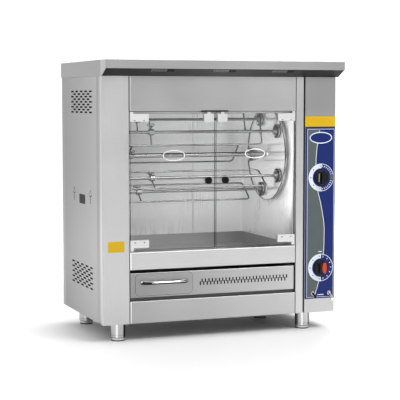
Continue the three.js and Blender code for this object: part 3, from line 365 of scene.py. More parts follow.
def piece(name, bm, finishes, body, slot, *nodes, place=None, smooth=32):
    """Makes an object of bm, drawn in casing millimetres, that rides on body and stands for nodes."""
    if place is not None:
        bm.transform(place)
    bm.transform(TO_FRAME)
    bmesh.ops.recalc_face_normals(bm, faces=bm.faces)
    mesh = bpy.data.meshes.new(name)
    bm.to_mesh(mesh)
    bm.free()
    for finish in finishes if isinstance(finishes, (list, tuple)) else [finishes]:
        mesh.materials.append(finish)
    mesh.shade_smooth()
    mesh.set_sharp_from_angle(angle=math.radians(smooth))
    obj = bpy.data.objects.new(name, mesh)
    bpy.context.scene.collection.objects.link(obj)
    normals = obj.modifiers.new("flat faces", "WEIGHTED_NORMAL")
    normals.keep_sharp = True
    normals.weight = 60
    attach(obj, body)
    if nodes:
        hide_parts(*nodes)
    return obj


def prism(bm, outline, shift, finish=0):
    """A closed body: a flat outline carried along shift."""
    shift = Vector(shift)
    near = [bm.verts.new(p) for p in outline]
    far = [bm.verts.new(Vector(p) + shift) for p in outline]
    faces = [bm.faces.new(near), bm.faces.new(far[::-1])]
    for i in range(len(outline)):
        j = (i + 1) % len(outline)
        faces.append(bm.faces.new((near[j], near[i], far[i], far[j])))
    for face in faces:
        face.material_index = finish
    return faces


def block(bm, low, high, finish=0):
    x0, y0, z0 = low
    x1, y1, z1 = high
    outline = [(x0, y0, z0), (x1, y0, z0), (x1, y0, z1), (x0, y0, z1)]
    return prism(bm, outline, (0, y1 - y0, 0), finish)


def blocks(*corners):
    """A mesh of upright boxes, each given by its lowest and highest corner."""
    bm = bmesh.new()
    for low, high in corners:
        block(bm, low, high)
    return bm


def eased(bm, width, segments=2, angle=50):
    """Rounds every edge of bm that turns by more than angle."""
    bmesh.ops.recalc_face_normals(bm, faces=bm.faces)
    sharp = [e for e in bm.edges if len(e.link_faces) == 2 and e.calc_face_angle(0) > math.radians(angle)]
    bmesh.ops.bevel(
        bm, geom=sharp, offset=width, segments=segments, profile=0.5, affect="EDGES", clamp_overlap=True
    )
    return bm


def painted(bm, finish, chosen):
    """Gives a finish to the faces whose normal and middle are chosen."""
    bm.normal_update()
    for face in bm.faces:
        if chosen(face.normal, face.calc_center_median()):
            face.material_index = finish
    return bm


def filleted(points, radius, steps=5):
    """A polyline, in two or three dimensions, with its inner corners rounded."""
    points = [Vector(p) for p in points]
    line = [points[0]]
    for before, corner, after in zip(points, points[1:], points[2:]):
        back = (before - corner).normalized()
        ahead = (after - corner).normalized()
        half = back.angle(ahead) / 2
        centre = corner + (back + ahead).normalized() * (radius / math.sin(half))
        start = corner + back * (radius / math.tan(half)) - centre
        end = corner + ahead * (radius / math.tan(half)) - centre
        for i in range(steps + 1):
            line.append(centre + start.normalized().slerp(end.normalized(), i / steps) * radius)
    line.append(points[-1])
    return line


def sheet_outline(middle_line, bend):
    """The closed outline of bent sheet metal, from the line along the middle of its thickness."""
    line = filleted(middle_line, bend)
    outer, inner = [], []
    for i, point in enumerate(line):
        along = (line[min(i + 1, len(line) - 1)] - line[max(i - 1, 0)]).normalized()
        across = Vector((-along.y, along.x)) * HALF
        outer.append(point + across)
        inner.append(point - across)
    return outer + inner[::-1]


def folded(bm, middle_line, bend, axis, low, high, finish=0):
    """Sheet metal bent along middle_line and running from low to high along axis."""
    outline = sheet_outline(middle_line, bend)
    if axis == "z":
        solid = [Vector((p.x, p.y, low)) for p in outline]
        return prism(bm, solid, (0, 0, high - low), finish)
    solid = [Vector((low, p.x, p.y)) for p in outline]
    return prism(bm, solid, (high - low, 0, 0), finish)


AXES = {
    "x": (Vector((1, 0, 0)), Vector((0, 1, 0)), Vector((0, 0, 1))),
    "y": (Vector((0, 1, 0)), Vector((0, 0, 1)), Vector((1, 0, 0))),
    "z": (Vector((0, 0, 1)), Vector((1, 0, 0)), Vector((0, 1, 0))),
}


def turned(bm, profile, centre, axis, segments=48, finish=0, shape=None):
    """A body of revolution. Each profile point is (distance along the axis, radius), and shape may
    scale the radius by the angle."""
    along, across, up = AXES[axis]
    centre = Vector(centre)
    rings = []
    for distance, radius in profile:
        if radius < 1e-6:
            rings.append([bm.verts.new(centre + along * distance)])
            continue
        ring = []
        for i in range(segments):
            angle = 2 * math.pi * i / segments
            reach = radius * (shape(angle, distance) if shape else 1)
            offset = across * math.cos(angle) + up * math.sin(angle)
            ring.append(bm.verts.new(centre + along * distance + offset * reach))
        rings.append(ring)
    if profile[0] == profile[-1] and len(rings[0]) > 1:
        bmesh.ops.delete(bm, geom=rings[-1], context="VERTS")
        rings[-1] = rings[0]
    for a, b in zip(rings, rings[1:]):
        for i in range(segments):
            j = (i + 1) % segments
            corners = [a[i % len(a)], a[j % len(a)], b[j % len(b)], b[i % len(b)]]
            face = bm.faces.new(list(dict.fromkeys(corners)))
            face.material_index = finish
    return bm


def rounded(profile, radius, steps=3):
    """A turned profile with its corners rounded."""
    return [tuple(p) for p in filleted(profile, radius, steps)]


def tube(bm, line, radii, segments=14, finish=0):
    """A round bar along line. radii is one radius or one for each point."""
    line = [Vector(p) for p in line]
    if not hasattr(radii, "__len__"):
        radii = [radii] * len(line)
    normal = None
    rings = []
    for i, point in enumerate(line):
        along = (line[min(i + 1, len(line) - 1)] - line[max(i - 1, 0)]).normalized()
        if normal is None:
            normal = along.orthogonal().normalized()
        normal = (normal - along * normal.dot(along)).normalized()
        side = along.cross(normal)
        ring = []
        for k in range(segments):
            angle = 2 * math.pi * k / segments
            offset = (normal * math.cos(angle) + side * math.sin(angle)) * radii[i]
            ring.append(bm.verts.new(point + offset))
        rings.append(ring)
    for a, b in zip(rings, rings[1:]):
        for k in range(segments):
            j = (k + 1) % segments
            bm.faces.new((a[k], a[j], b[j], b[k])).material_index = finish
    bm.faces.new(rings[0][::-1]).material_index = finish
    bm.faces.new(rings[-1]).material_index = finish
    return bm


def rounded_rectangle(x0, z0, x1, z1, radius, steps=5):
    """Corner points of a rounded rectangle as (x, z) pairs."""
    points = []
    for cx, cz, start in (
        (x1 - radius, z0 + radius, -90), (x1 - radius, z1 - radius, 0),
        (x0 + radius, z1 - radius, 90), (x0 + radius, z0 + radius, 180),
    ):
        for i in range(steps + 1):
            angle = math.radians(start + 90 * i / steps)
            points.append((cx + radius * math.cos(angle), cz + radius * math.sin(angle)))
    return points


def ellipse(cx, cz, half_width, half_height, steps=64):
    angles = [2 * math.pi * i / steps for i in range(steps)]
    return [(cx + half_width * math.cos(a), cz + half_height * math.sin(a)) for a in angles]


def arc(cx, cz, outer, inner, start, end, steps=40):
    """A flat ring or part of one, as (x, z) pairs. Angles are in degrees from +X towards +Z."""
    angles = [math.radians(start + (end - start) * i / steps) for i in range(steps + 1)]
    outside = [(cx + outer * math.cos(a), cz + outer * math.sin(a)) for a in angles]
    inside = [(cx + inner * math.cos(a), cz + inner * math.sin(a)) for a in angles]
    return outside + inside[::-1]


def ribbon(points, width):
    """A flat stripe of that width along (x, z) points."""
    left, right = [], []
    for i, (x, z) in enumerate(points):
        x0, z0 = points[max(i - 1, 0)]
        x1, z1 = points[min(i + 1, len(points) - 1)]
        along = Vector((x1 - x0, z1 - z0)).normalized() * (width / 2)
        left.append((x - along.y, z + along.x))
        right.append((x + along.y, z - along.x))
    return left + right[::-1]


def slab(bm, points, front, depth, finish=0):
    """A body that faces the front, from (x, z) points."""
    prism(bm, [Vector((x, front, z)) for x, z in points], (0, depth, 0), finish)


def side_slab(bm, points, left, width, finish=0):
    """A body that faces the side, from (y, z) points."""
    prism(bm, [Vector((left, y, z)) for y, z in points], (width, 0, 0), finish)


def carved(bm, cutters):
    """bm with the cutters' shapes taken away. Cut walls take the cutters' finish index."""
    bodies = []
    for source in (bm, cutters):
        bmesh.ops.recalc_face_normals(source, faces=source.faces)
        mesh = bpy.data.meshes.new("carving")
        source.to_mesh(mesh)
        source.free()
        for _ in range(MOST_FINISHES):
            mesh.materials.append(None)
        obj = bpy.data.objects.new("carving", mesh)
        bpy.context.scene.collection.objects.link(obj)
        bodies.append(obj)
    target, tool = bodies
    modifier = target.modifiers.new("carve", "BOOLEAN")
    modifier.operation = "DIFFERENCE"
    modifier.solver = "EXACT"
    modifier.object = tool
    depsgraph = bpy.context.evaluated_depsgraph_get()
    result = bmesh.new()
    result.from_mesh(target.evaluated_get(depsgraph).to_mesh())
    for obj in bodies:
        mesh = obj.data
        bpy.data.objects.remove(obj)
        bpy.data.meshes.remove(mesh)
    return result


def screw(bm, centre, axis, facing, radius=4.5, height=2.2, finish=0):
    """A button-head screw with a hexagon socket. facing is 1 or -1 along the axis."""
    profile = [
        (0, 0), (0, radius), (height * 0.35, radius), (height * 0.75, radius * 0.86),
        (height, radius * 0.55), (height, radius * 0.36), (height * 0.3, radius * 0.33), (height * 0.3, 0),
    ]
    turned(bm, [(d * facing, r) for d, r in profile], centre, axis, 12, finish)


def from_cad(node, width=0.5, angle=25, segments=2):
    """A CAD node's own shape with its flat faces merged and its edges rounded."""
    bm = bmesh.new()
    bm.from_mesh(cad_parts[node].data)
    bm.transform(TO_FRAME.inverted())
    bmesh.ops.remove_doubles(bm, verts=bm.verts, dist=0.01)
    bmesh.ops.dissolve_limit(bm, angle_limit=math.radians(1), verts=bm.verts, edges=bm.edges)
    return eased(bm, width, segments, angle)


# ---------------------------------------------------------------- casing

TOP = extent("left_side_panel")[1].z
PANEL_LEFT = extent("top_front_panel")[0].x
PANEL_RIGHT = extent("top_front_panel")[1].x
FLANGE = extent("top_front_panel")[1].y
LEVEL_PANELS = {"lower_front_panel": (0, 88), "sill_panel": (211, 281), "top_front_panel": (831, TOP)}
SILL_TOP = LEVEL_PANELS["sill_panel"][1]
LINTEL = LEVEL_PANELS["top_front_panel"][0]

HOOD_SLOT_GROUPS = (190, 448, 700)
HOOD_SLOTS = 10
LIT_SLOTS = 7
HOOD_SLOT_PITCH = 9.5
# How far up the canopy's slope the slots are, as a share of it from its back edge.
HOOD_SLOT_SHARE = 0.74

SIDE_VENT_BOTTOMS = (124, 826)
SIDE_VENT_START = 137
SIDE_VENT_PITCH = 66
SIDE_VENT_LENGTH = 38
SIDE_VENT_HEIGHT = 7
SIDE_VENTS = 5
SIDE_VENT_ROWS = 9
SIDE_VENT_RISE = 10.4


def casing_piece(name, bm, finishes):
    """A piece of the fixed steel casing that stands for the node of its own name."""
    piece(name, bm, finishes, "body", "brushed_steel", name)


def casing_detail(name, bm, finishes):
    """A piece of the fixed steel casing that the CAD leaves out."""
    piece(name, bm, finishes, "body", "brushed_steel")


def add_hood():
    low, high = extent("hood_cap")
    end_sheet = 0.9
    slope_back = 968.0
    slope_front = high.z - 34
    section = [
        (low.y, high.z), (low.y, slope_front), (0, slope_back), (high.y, slope_back), (high.y, high.z)
    ]
    bm = bmesh.new()
    side_slab(bm, section, low.x + end_sheet, high.x - low.x - 2 * end_sheet)
    eased(bm, 1.8, 3, 20)
    # Painted shade: the canopy's underside takes the near-black shaded steel.
    painted(bm, 1, lambda normal, place: normal.z < -0.7 and place.y < -1)
    cutters = bmesh.new()
    tilt = Matrix.Rotation(-math.atan2(slope_front - slope_back, -low.y), 4, "X")
    row = Vector((0, 0, slope_back)).lerp(Vector((0, low.y, slope_front)), HOOD_SLOT_SHARE)
    for group in HOOD_SLOT_GROUPS:
        for i in range(HOOD_SLOTS):
            # Painted light and shade: the first LIT_SLOTS slots are shallow pale patches, the rest deep
            # pockets lined near black.
            half_width, depth, finish = (1.3, 1, 3) if i < LIT_SLOTS else (2.6, 6, 2)
            corners = rounded_rectangle(-half_width, -10, half_width, 10, half_width - 0.1, 3)
            place = Matrix.Translation(row + Vector((group + i * HOOD_SLOT_PITCH, 0, 0))) @ tilt
            carried = place.to_3x3() @ Vector((0, 0, 2 * depth))
            prism(cutters, [place @ Vector((x, y, -depth)) for x, y in corners], carried, finish)
    casing_piece("hood_cap", carved(bm, cutters), [STEEL_HOOD, SHADE_STEEL, SHADE_AND_PRINT_BLACK, SLOT_PAINTED_LIGHT])
    front, top, back = low.y + 0.4, high.z - 0.6, 13
    end = [
        (front, top), (front, slope_front + 0.6), (0, slope_back + 0.5), (back, slope_back + 0.5), (back, top)
    ]
    for side, x in (("left", low.x), ("right", high.x - end_sheet)):
        bm = bmesh.new()
        side_slab(bm, end, x, end_sheet)
        casing_detail(f"hood_{side}_end_plate", eased(bm, 0.35), STEEL)


def add_side_panel():
    bm = bmesh.new()
    step = 3 + HALF
    front = 41 + HALF
    panel = [(14, front), (step, front), (step, 58), (HALF, 74), (HALF, 544)]
    folded(bm, panel, 2, "z", 0, TOP)
    eased(bm, 0.3, 1)
    cutters = bmesh.new()
    for bottom in SIDE_VENT_BOTTOMS:
        for row in range(SIDE_VENT_ROWS):
            short = row % 2
            for i in range(SIDE_VENTS - short):
                y = SIDE_VENT_START + SIDE_VENT_PITCH * (i + short / 2)
                z = bottom + SIDE_VENT_RISE * row - SIDE_VENT_HEIGHT / 2
                end = SIDE_VENT_HEIGHT / 2 - 0.01
                slot = rounded_rectangle(y, z, y + SIDE_VENT_LENGTH, z + SIDE_VENT_HEIGHT, end, 4)
                side_slab(cutters, slot, -5, 11, 1)
    casing_piece("left_side_panel", carved(bm, cutters), [STEEL_SIDE, SHADE_AND_PRINT_BLACK])
    # Painted shade: near-black plates behind the vents, whose cut walls are near black too.
    baffles = blocks(*(((2, 128, z - 8), (2.6, 480, z + 94)) for z in SIDE_VENT_BOTTOMS))
    casing_detail("side_vent_shade_baffles", eased(baffles, 0.3, 1), SHADE_AND_PRINT_BLACK)


def channel(low, high, back=FLANGE):
    """A face from low to high between two flanges, the second of which may run further back."""
    return [(low + HALF, FLANGE), (low + HALF, HALF), (high - HALF, HALF), (high - HALF, back)]


def bent_panel(name, finish, middle_line, bend, axis="z"):
    """An upright sheet of the casing's full height or, along x, one between column and post."""
    bm = bmesh.new()
    folded(bm, middle_line, bend, axis, *((0, TOP) if axis == "z" else (PANEL_LEFT, PANEL_RIGHT)))
    casing_piece(name, eased(bm, 0.3, 1), finish)


def add_front_sheets():
    high = extent("left_front_column")[1]
    column = [(HALF + 2.2, high.y), (HALF, 6), *channel(0, high.x)[1:]]
    bent_panel("left_front_column", STEEL, column, 3.4)
    low, high = extent("right_front_post")
    bent_panel("right_front_post", STEEL, channel(low.x, high.x), 2.6)
    low, high = extent("control_box_cover")
    bent_panel("control_box_cover", STEEL_BOX, channel(low.x, high.x, high.y), 2.8)
    top = [(FLANGE, LINTEL + HALF), (HALF, LINTEL + HALF), (HALF, TOP)]
    bent_panel("top_front_panel", STEEL_LEVEL, top, 2.4, "x")
    strike = blocks(((408, -0.9, 828), (524, 13, 830.8)), ((408, -1.2, 828), (524, -0.1, 834.5)))
    piece("catch_strike_bar", eased(strike, 0.5), BLACK, "body", "black_plastic")
    for name, finish in (("sill_panel", STEEL_SILL), ("lower_front_panel", STEEL_LEVEL)):
        bent_panel(name, finish, [(y, z) for z, y in channel(*LEVEL_PANELS[name])], 2.4, "x")


def add_gap_strips():
    """Painted shade in the gaps beside the front panels and under the drawer, where folded edges are seen."""
    column_right = extent("left_front_column")[1].x
    post_left = extent("right_front_post")[0].x
    bm = blocks(((PANEL_LEFT + 0.5, 10, 89), (PANEL_RIGHT - 0.5, 11, 101)))
    for x0, x1 in ((column_right, PANEL_LEFT), (PANEL_RIGHT, post_left)):
        for z0, z1 in ((0, SILL_TOP), (LINTEL, TOP)):
            block(bm, (x0 + 0.2, 2.5, z0), (x1 - 0.2, 15, z1))
    casing_detail("panel_gap_shade_strips", eased(bm, 0.2, 1), GAP_SHADE)
    # Painted highlights: bright strips along the level panels' left edges.
    bm = bmesh.new()
    for bottom, top in LEVEL_PANELS.values():
        block(bm, (PANEL_LEFT, -0.25, bottom + 2), (PANEL_LEFT + 4.4, 0.4, top - 2))
    casing_detail("panel_edge_highlights", eased(bm, 0.2, 1), BRIGHT_CHROME_AND_HIGHLIGHT)


def add_lintel_hem():
    """The folded hem behind the doors' top edges, with a painted shade line above and below it."""
    bm = bmesh.new()
    for bottom, top, front, finish in ((829.2, 830.9, 14.3, 1), (823, 829.2, 14.1, 0), (821.4, 823, 14.3, 1)):
        block(bm, (PANEL_LEFT, front, bottom), (PANEL_RIGHT, 15, top), finish)
    casing_detail("lintel_hem", bm, [STEEL_BRIGHT, GAP_SHADE])


def add_rear():
    low, high = extent("rear_panel")
    right, back = high.x - HALF, high.y - HALF
    bm = bmesh.new()
    folded(bm, [(HALF, low.y), (HALF, back), (right, back), (right, low.y)], 2.6, "z", 0, high.z)
    eased(bm, 0.3, 1)
    cutters = bmesh.new()
    # Painted shade: the vents' and the gland hole's cut walls are near black.
    for i in range(6):
        bottom = 600 + 24 * i
        slab(cutters, rounded_rectangle(870, bottom, 960, bottom + 8, 3.9, 4), high.y - 10, 20, 1)
    turned(cutters, [(-10, 0), (-10, 7), (10, 7), (10, 0)], (930, high.y, 120), "y", 24, 1)
    casing_piece("rear_panel", carved(bm, cutters), [STEEL_REAR, SHADE_AND_PRINT_BLACK])
    bm = bmesh.new()
    places = [(x, z) for x in (20, 260, 500, 740, 980) for z in (16, high.z - 24)]
    places += [(x, z) for x in (20, 980) for z in (250, 490, 730)]
    for x, z in places:
        screw(bm, (x, high.y, z), "y", 1)
    piece("rear_screws", bm, CHROME, "body", "chrome")
    casing_piece("base_pan", from_cad("base_pan", 0.4), BASE_STEEL)


def hexagon(angle):
    """The reach of a unit hexagon's side at an angle, over its corners' reach."""
    return math.cos(math.pi / 6) / math.cos(angle % (math.pi / 3) - math.pi / 6)


def add_gland():
    low, high = extent("cable_gland")
    centre = middle("cable_gland")
    nut = [
        (0, 5.4), (0, 13.2), (0.8, 14), (5, 14), (5.7, 13), (5.7, 9), (high.y - low.y - 1.6, 8.2),
        (high.y - low.y, 6.8), (high.y - low.y, 5.4), (0, 5.4),
    ]
    bm = turned(bmesh.new(), nut, (centre.x, low.y, centre.z), "y", 36,
                shape=lambda angle, distance: hexagon(angle) if distance < 5.2 else 1)
    piece("cable_gland", bm, BLACK, "body", "black_plastic", "cable_gland")


def add_labels_and_marks():
    for name, corners in (("column_label", (21, 284, 88, 326)), ("control_box_label", (862, 766, 999, 808))):
        bm = bmesh.new()
        slab(bm, rounded_rectangle(*corners, 1.5, 3), -0.25, 0.25)
        piece(name, bm, YELLOW, "body", "fascia_print")
    shadow = blocks(((864, -0.2, 762.3), (999.5, 0, 766)))
    piece("fascia_top_shadow_strip", shadow, MATT_BLACK, "body", "black_plastic")
    bm = bmesh.new()
    for y in (166, 403):
        side_slab(bm, ribbon([(y - 17, 494), (y, 517), (y + 17, 494), (y - 17, 494)], 3), -0.15, 0.15)
        side_slab(bm, ribbon([(y, 461), (y, 494)], 5), -0.15, 0.15)
    piece("side_lifting_marks", bm, SHADE_AND_PRINT_BLACK, "body", "fascia_print")
    bm = bmesh.new()
    side_slab(bm, rounded_rectangle(244, 456, 322, 494, 3, 3), -0.9, 1.2)
    bmesh.ops.recalc_face_normals(bm, faces=bm.faces)
    front = [face for face in bm.faces if face.normal.x < -0.9]
    bmesh.ops.inset_region(bm, faces=front, thickness=3)
    bmesh.ops.translate(bm, verts=list({v for face in front for v in face.verts}), vec=(0.6, 0, 0))
    piece("side_cover_plug", bm, MATT_BLACK, "body", "black_plastic")


# ---------------------------------------------------------------- chamber

HEATER_ROWS = (80, 190, 300, 410)
HEATER_LEVEL = 885
HEATER_RADIUS = 4.4


def add_chamber():
    bm = from_cad("chamber_liner", 0.6, 50)
    # The chamber's ceiling over the heater is near-black steel.
    painted(bm, 1, lambda normal, place: normal.z < -0.9 and place.z > 880)
    piece("chamber_liner", bm, [LINER, CEILING_STEEL], "body", "polished_steel", "chamber_liner")
    seam = eased(blocks(((583, 558.6, 289), (588.5, 559.9, 904.6))), 0.5)
    piece("chamber_back_seam", seam, STEEL_BRIGHT, "body", "polished_steel")
    # Painted light: the pan's upward faces take the lighter steel.
    bm = painted(from_cad("chamber_floor_pan", 0.6, 50), 1, lambda normal, place: normal.z > 0.7)
    piece("chamber_floor_pan", bm, [PAN_WALL_SHADE_STEEL, PAN_FLOOR], "body", "polished_steel", "chamber_floor_pan")
    wall, right, left = extent("heating_element")[1].x, 790, 135
    turns = (wall, left, left, right, right, left, left, wall)
    corners = [(x, HEATER_ROWS[i // 2], HEATER_LEVEL) for i, x in enumerate(turns)]
    bm = tube(bmesh.new(), filleted(corners, 40, 10), HEATER_RADIUS)
    piece("heating_element", bm, HEATER, "body", "heater_sheath", "heating_element")


# ---------------------------------------------------------------- drive and spits

FORK_TILTS = (16, 16, 54, 53, -44)
GEAR_LEFT = 803
SHAFT_RADIUS = 9.7
WHEEL_RADIUS = 196
WHEEL_SHEET = 2
WHEEL_BORE = 10
HUB_RADIUS = 13


def axis_of(node):
    """The point where a node's axis along X crosses the casing's left side."""
    centre = middle(node)
    return Vector((0, centre.y, centre.z))


def add_drive():
    low, high = extent("drive_shaft")
    centre = axis_of("drive_shaft")
    shaft = [(low.x, 0), (low.x, SHAFT_RADIUS), (high.x, SHAFT_RADIUS), (high.x, 0)]
    bm = turned(bmesh.new(), rounded(shaft, 1.2), centre, "x")
    piece("drive_shaft", bm, SHAFT_STEEL, "carrier", "polished_steel", "drive_shaft")
    left = wheel(104, 10, False, centre)
    piece("left_wheel", left, WHEEL_STEEL, "carrier", "polished_steel", "left_wheel")
    right = wheel(796.5, 4, True, centre)
    finishes = [WHEEL_STEEL, PAINTED_DARK_REFLECTION, SHAFT_STEEL]
    piece("right_wheel", right, finishes, "carrier", "polished_steel", "right_wheel")
    piece("sun_gear", from_cad("sun_gear", 0.35, 30, 1), GEAR_STEEL, "body", "gear_steel", "sun_gear")
    for name in ("left_shaft_bearing", "gear_motor"):
        piece(name, from_cad(name, 1.0, 40), CASTING, "body", "cast_housing", name)


def wheel(x, hub_end, rimmed, centre):
    """A sheet disc whose left face is at x, with a hub and, where it is rimmed, a rolled edge."""
    lip = WHEEL_RADIUS - 2.5
    back = x + WHEEL_SHEET
    if rimmed:
        rim = [
            (x, lip), (x - 2.8, lip), (x - 3.5, lip + 0.7), (x - 3.5, lip + 1.8), (x - 2.8, WHEEL_RADIUS),
            (x - 1, WHEEL_RADIUS), (x + 7, WHEEL_RADIUS), (x + 9, WHEEL_RADIUS), (x + 9.5, lip + 1.9),
            (x + 9.5, lip), (back, lip),
        ]
    else:
        rim = [(x, WHEEL_RADIUS - 2), (x + 0.6, WHEEL_RADIUS - 0.6), (back, WHEEL_RADIUS)]
    hub = [
        (back, HUB_RADIUS), (x + hub_end, HUB_RADIUS), (x + hub_end, WHEEL_BORE), (x - 4, WHEEL_BORE),
        (x - 4, HUB_RADIUS - 1), (x - 3, HUB_RADIUS), (x, HUB_RADIUS),
    ]
    profile = [(x, HUB_RADIUS), (x, WHEEL_RADIUS - 8), *rim, *hub]
    bm = turned(bmesh.new(), profile, centre, "x", 128)
    if not rimmed:
        return bm

    def beyond(reach, place):
        return (place.yz - centre.yz).length > reach

    # Painted reflections: the rolled rim is dark chrome, with a lighter band of shaft steel round its
    # outside.
    painted(bm, 1, lambda normal, place: beyond(WHEEL_RADIUS - 5, place))
    return painted(bm, 2, lambda normal, place: beyond(WHEEL_RADIUS - 1, place) and x < place.x < x + 6)


def add_spits():
    for number, tilt in enumerate(FORK_TILTS, 1):
        rod, drive, tines = (f"spit_{part}_{number}" for part in ("rod", "drive", "fork"))
        body = f"spit_{number}"
        centre = axis_of(rod)
        point = [(98, 0), (98, 2), (106, 5.6), (110, 6)]
        bm = turned(bmesh.new(), [*point, (783, 6), (784, 5), (784, 0)], centre, "x", 32)
        piece(rod, bm, ROD_STEEL, body, "chrome", rod)
        finishes = [PAINTED_DARK_REFLECTION, GEAR_STEEL, CHROME]
        piece(drive, spit_drive(drive, centre), finishes, body, "chrome", drive)
        place = Matrix.Translation(centre) @ Matrix.Rotation(-math.radians(tilt), 4, "X")
        piece(tines, fork(), [ROD_STEEL, CLAMP_STEEL], f"fork_{number}", "chrome", tines, place=place)


def spit_drive(node, centre):
    """The CAD's gear, with a turned socket in front of it."""
    bm = from_cad(node, 0.01, 89, 1)
    cut = bmesh.ops.bisect_plane(
        bm, geom=bm.verts[:] + bm.edges[:] + bm.faces[:], plane_co=(GEAR_LEFT - 0.5, 0, 0),
        plane_no=(1, 0, 0), clear_inner=True,
    )
    bmesh.ops.holes_fill(bm, edges=[e for e in cut["geom_cut"] if isinstance(e, bmesh.types.BMEdge)])
    for face in bm.faces:
        face.material_index = 1
    socket = [
        (785, 0), (785, 6.3), (772, 6.3), (772, 9.6), (773, 10.6), (780, 22), (782, 27), (784, 29),
        (787, 29), (788, 27.5), (790.5, 27.5), (791.5, 29), (795, 29), (796.2, 27.6), (796.2, 9),
        (802.4, 9), (802.4, 0),
    ]
    turned(bm, socket, centre, "x", 48)
    # Painted reflections: the socket's cone and groove are bright chrome, its other rings dark chrome.
    for face in bm.faces:
        x = face.calc_center_median().x
        if face.material_index == 0 and (x < 780 or 787 < x < 791):
            face.material_index = 2
    return bm


def fork():
    """A long U of wire beside the rod, with its clamp and wing screw, drawn about the rod's axis."""
    aside, half, wire, clamp = 9.8, 52, 3.5, 240
    start, end = 136, 722
    corners = [(start, aside, half), (end, aside, half), (end, aside, -half), (start, aside, -half)]
    line = filleted(corners, 14, 7)
    tip, shoulder = start - 1, start + 12
    upper = [Vector((tip, aside, half)), Vector((shoulder, aside, half))]
    lower = [Vector((shoulder, aside, -half)), Vector((tip, aside, -half))]
    full = upper + line[1:-1] + lower
    bm = tube(bmesh.new(), full, [0.9] + [wire] * (len(full) - 2) + [0.9], 12)
    tube(bm, [(clamp, aside, -half), (clamp, aside, half)], 3, 10)
    barrel = rounded([(-11, 6.6), (-11, 12.6), (11, 12.6), (11, 6.6)], 2.4)
    turned(bm, [*barrel, (-11, 6.6)], (clamp, 0, 0), "x", 28, 1)
    stem = [(9, 0), (9, 4.6), (12, 4.6), (13, 3), (21, 3), (22, 4), (27, 3.4), (27.4, 0)]
    turned(bm, stem, (clamp, -1, 0), "z", 16, 1)
    for way in (-1, 1):
        loop = [(2, 15), (6, 24)]
        for i in range(15):
            angle = math.radians(-125 + 320 * i / 14)
            loop.append((10 + 5 * math.cos(angle), 29.5 + 5 * math.sin(angle)))
        tube(bm, [(clamp + way * x, -1, z) for x, z in loop], 1.8, 8, 1)
    return bm


# ---------------------------------------------------------------- doors

BADGE_RING = 3.6


def add_doors():
    for side, inward in (("left", 1), ("right", -1)):
        body = f"{side}_door"
        low, high = extent(f"{body}_glass")
        bm = eased(blocks((low, high)), 1.3)
        painted(bm, 1, lambda normal, place: abs(normal.y) <= 0.95)
        piece(f"{body}_glass", bm, [GLASS, GLASS_EDGE], body, "door_glass", f"{body}_glass")
        add_clamp(f"{body}_top_hinge", body, high.z, inward, True)
        add_clamp(f"{body}_bottom_hinge", body, low.z, inward, True)
        add_clamp(f"{body}_catch", body, high.z, inward, False)
        add_door_knob(f"{body}_knob", body)
    add_glass_badge("left_door_badge", "left_door", (294.3, 657.7), 46.7, 22)
    add_glass_badge("right_door_badge", "right_door", (641.2, 660.8), 44.6, 19.7)


def add_clamp(name, body, glass_edge, inward, hinged):
    """Plates on both faces of the glass, joined round its edge by a narrow tab. A hinge has two screws
    and a pin that stands on its tab."""
    low, high = extent(name)
    glass_low, glass_high = extent(f"{body}_glass")
    centre_x = (low.x + high.x) / 2
    at_top = glass_edge == glass_high.z
    out = 1 if at_top else -1
    far = low.z if at_top else high.z
    plate_edge = far + out * (30 if hinged else 32)
    tab_edge = glass_edge + out * (1.9 if hinged else 0.8)
    if hinged:
        tab = (low.x, low.x + 14) if inward > 0 else (high.x - 14, high.x)
    else:
        tab = (centre_x - 7, centre_x + 7)
    outline = [
        (low.x, far), (high.x, far), (high.x, plate_edge), (tab[1], plate_edge), (tab[1], tab_edge),
        (tab[0], tab_edge), (tab[0], plate_edge), (low.x, plate_edge),
    ]
    outline = list(dict.fromkeys(outline))
    if hinged:
        outline.remove((low.x if inward > 0 else high.x, plate_edge))
    bm = bmesh.new()
    slab(bm, outline, low.y, glass_low.y - 0.15 - low.y)
    slab(bm, outline, glass_high.y + 0.15, high.y - glass_high.y - 0.15)
    inner, outer = sorted((glass_edge + out * 0.2, tab_edge - out * 0.05))
    block(bm, (tab[0] + 0.1, glass_low.y - 1, inner), (tab[1] - 0.1, glass_high.y + 1, outer))
    eased(bm, 0.5)
    if hinged:
        pivot = low.x + 7.5 if inward > 0 else high.x - 7.5
        end = high.z if at_top else low.z
        turned(bm, [(tab_edge, 0), (tab_edge, 4), (end, 4), (end, 0)], (pivot, 5, 0), "z", 24, 1)
        for x in (centre_x - 19, centre_x + 19):
            screw(bm, (x, low.y, far + out * (5 if at_top else 9)), "y", -1, 3.2, 1.0, 1)
    piece(name, bm, [STEEL_BRIGHT, CLAMP_STEEL], body, "brushed_steel", name)


def add_glass_badge(name, body, centre, half_width, half_height):
    """A blank oval ring printed on the glass."""
    face = extent(f"{body}_glass")[0].y
    outside = ellipse(*centre, half_width, half_height)
    inside = ellipse(*centre, half_width - BADGE_RING, half_height - BADGE_RING)
    bm = bmesh.new()
    for k in range(len(outside)):
        slab(bm, [outside[k - 1], outside[k], inside[k], inside[k - 1]], face - 0.15, 0.1)
    bmesh.ops.remove_doubles(bm, verts=bm.verts, dist=0.001)
    piece(name, bm, GLASS_PRINT, body, "fascia_print")


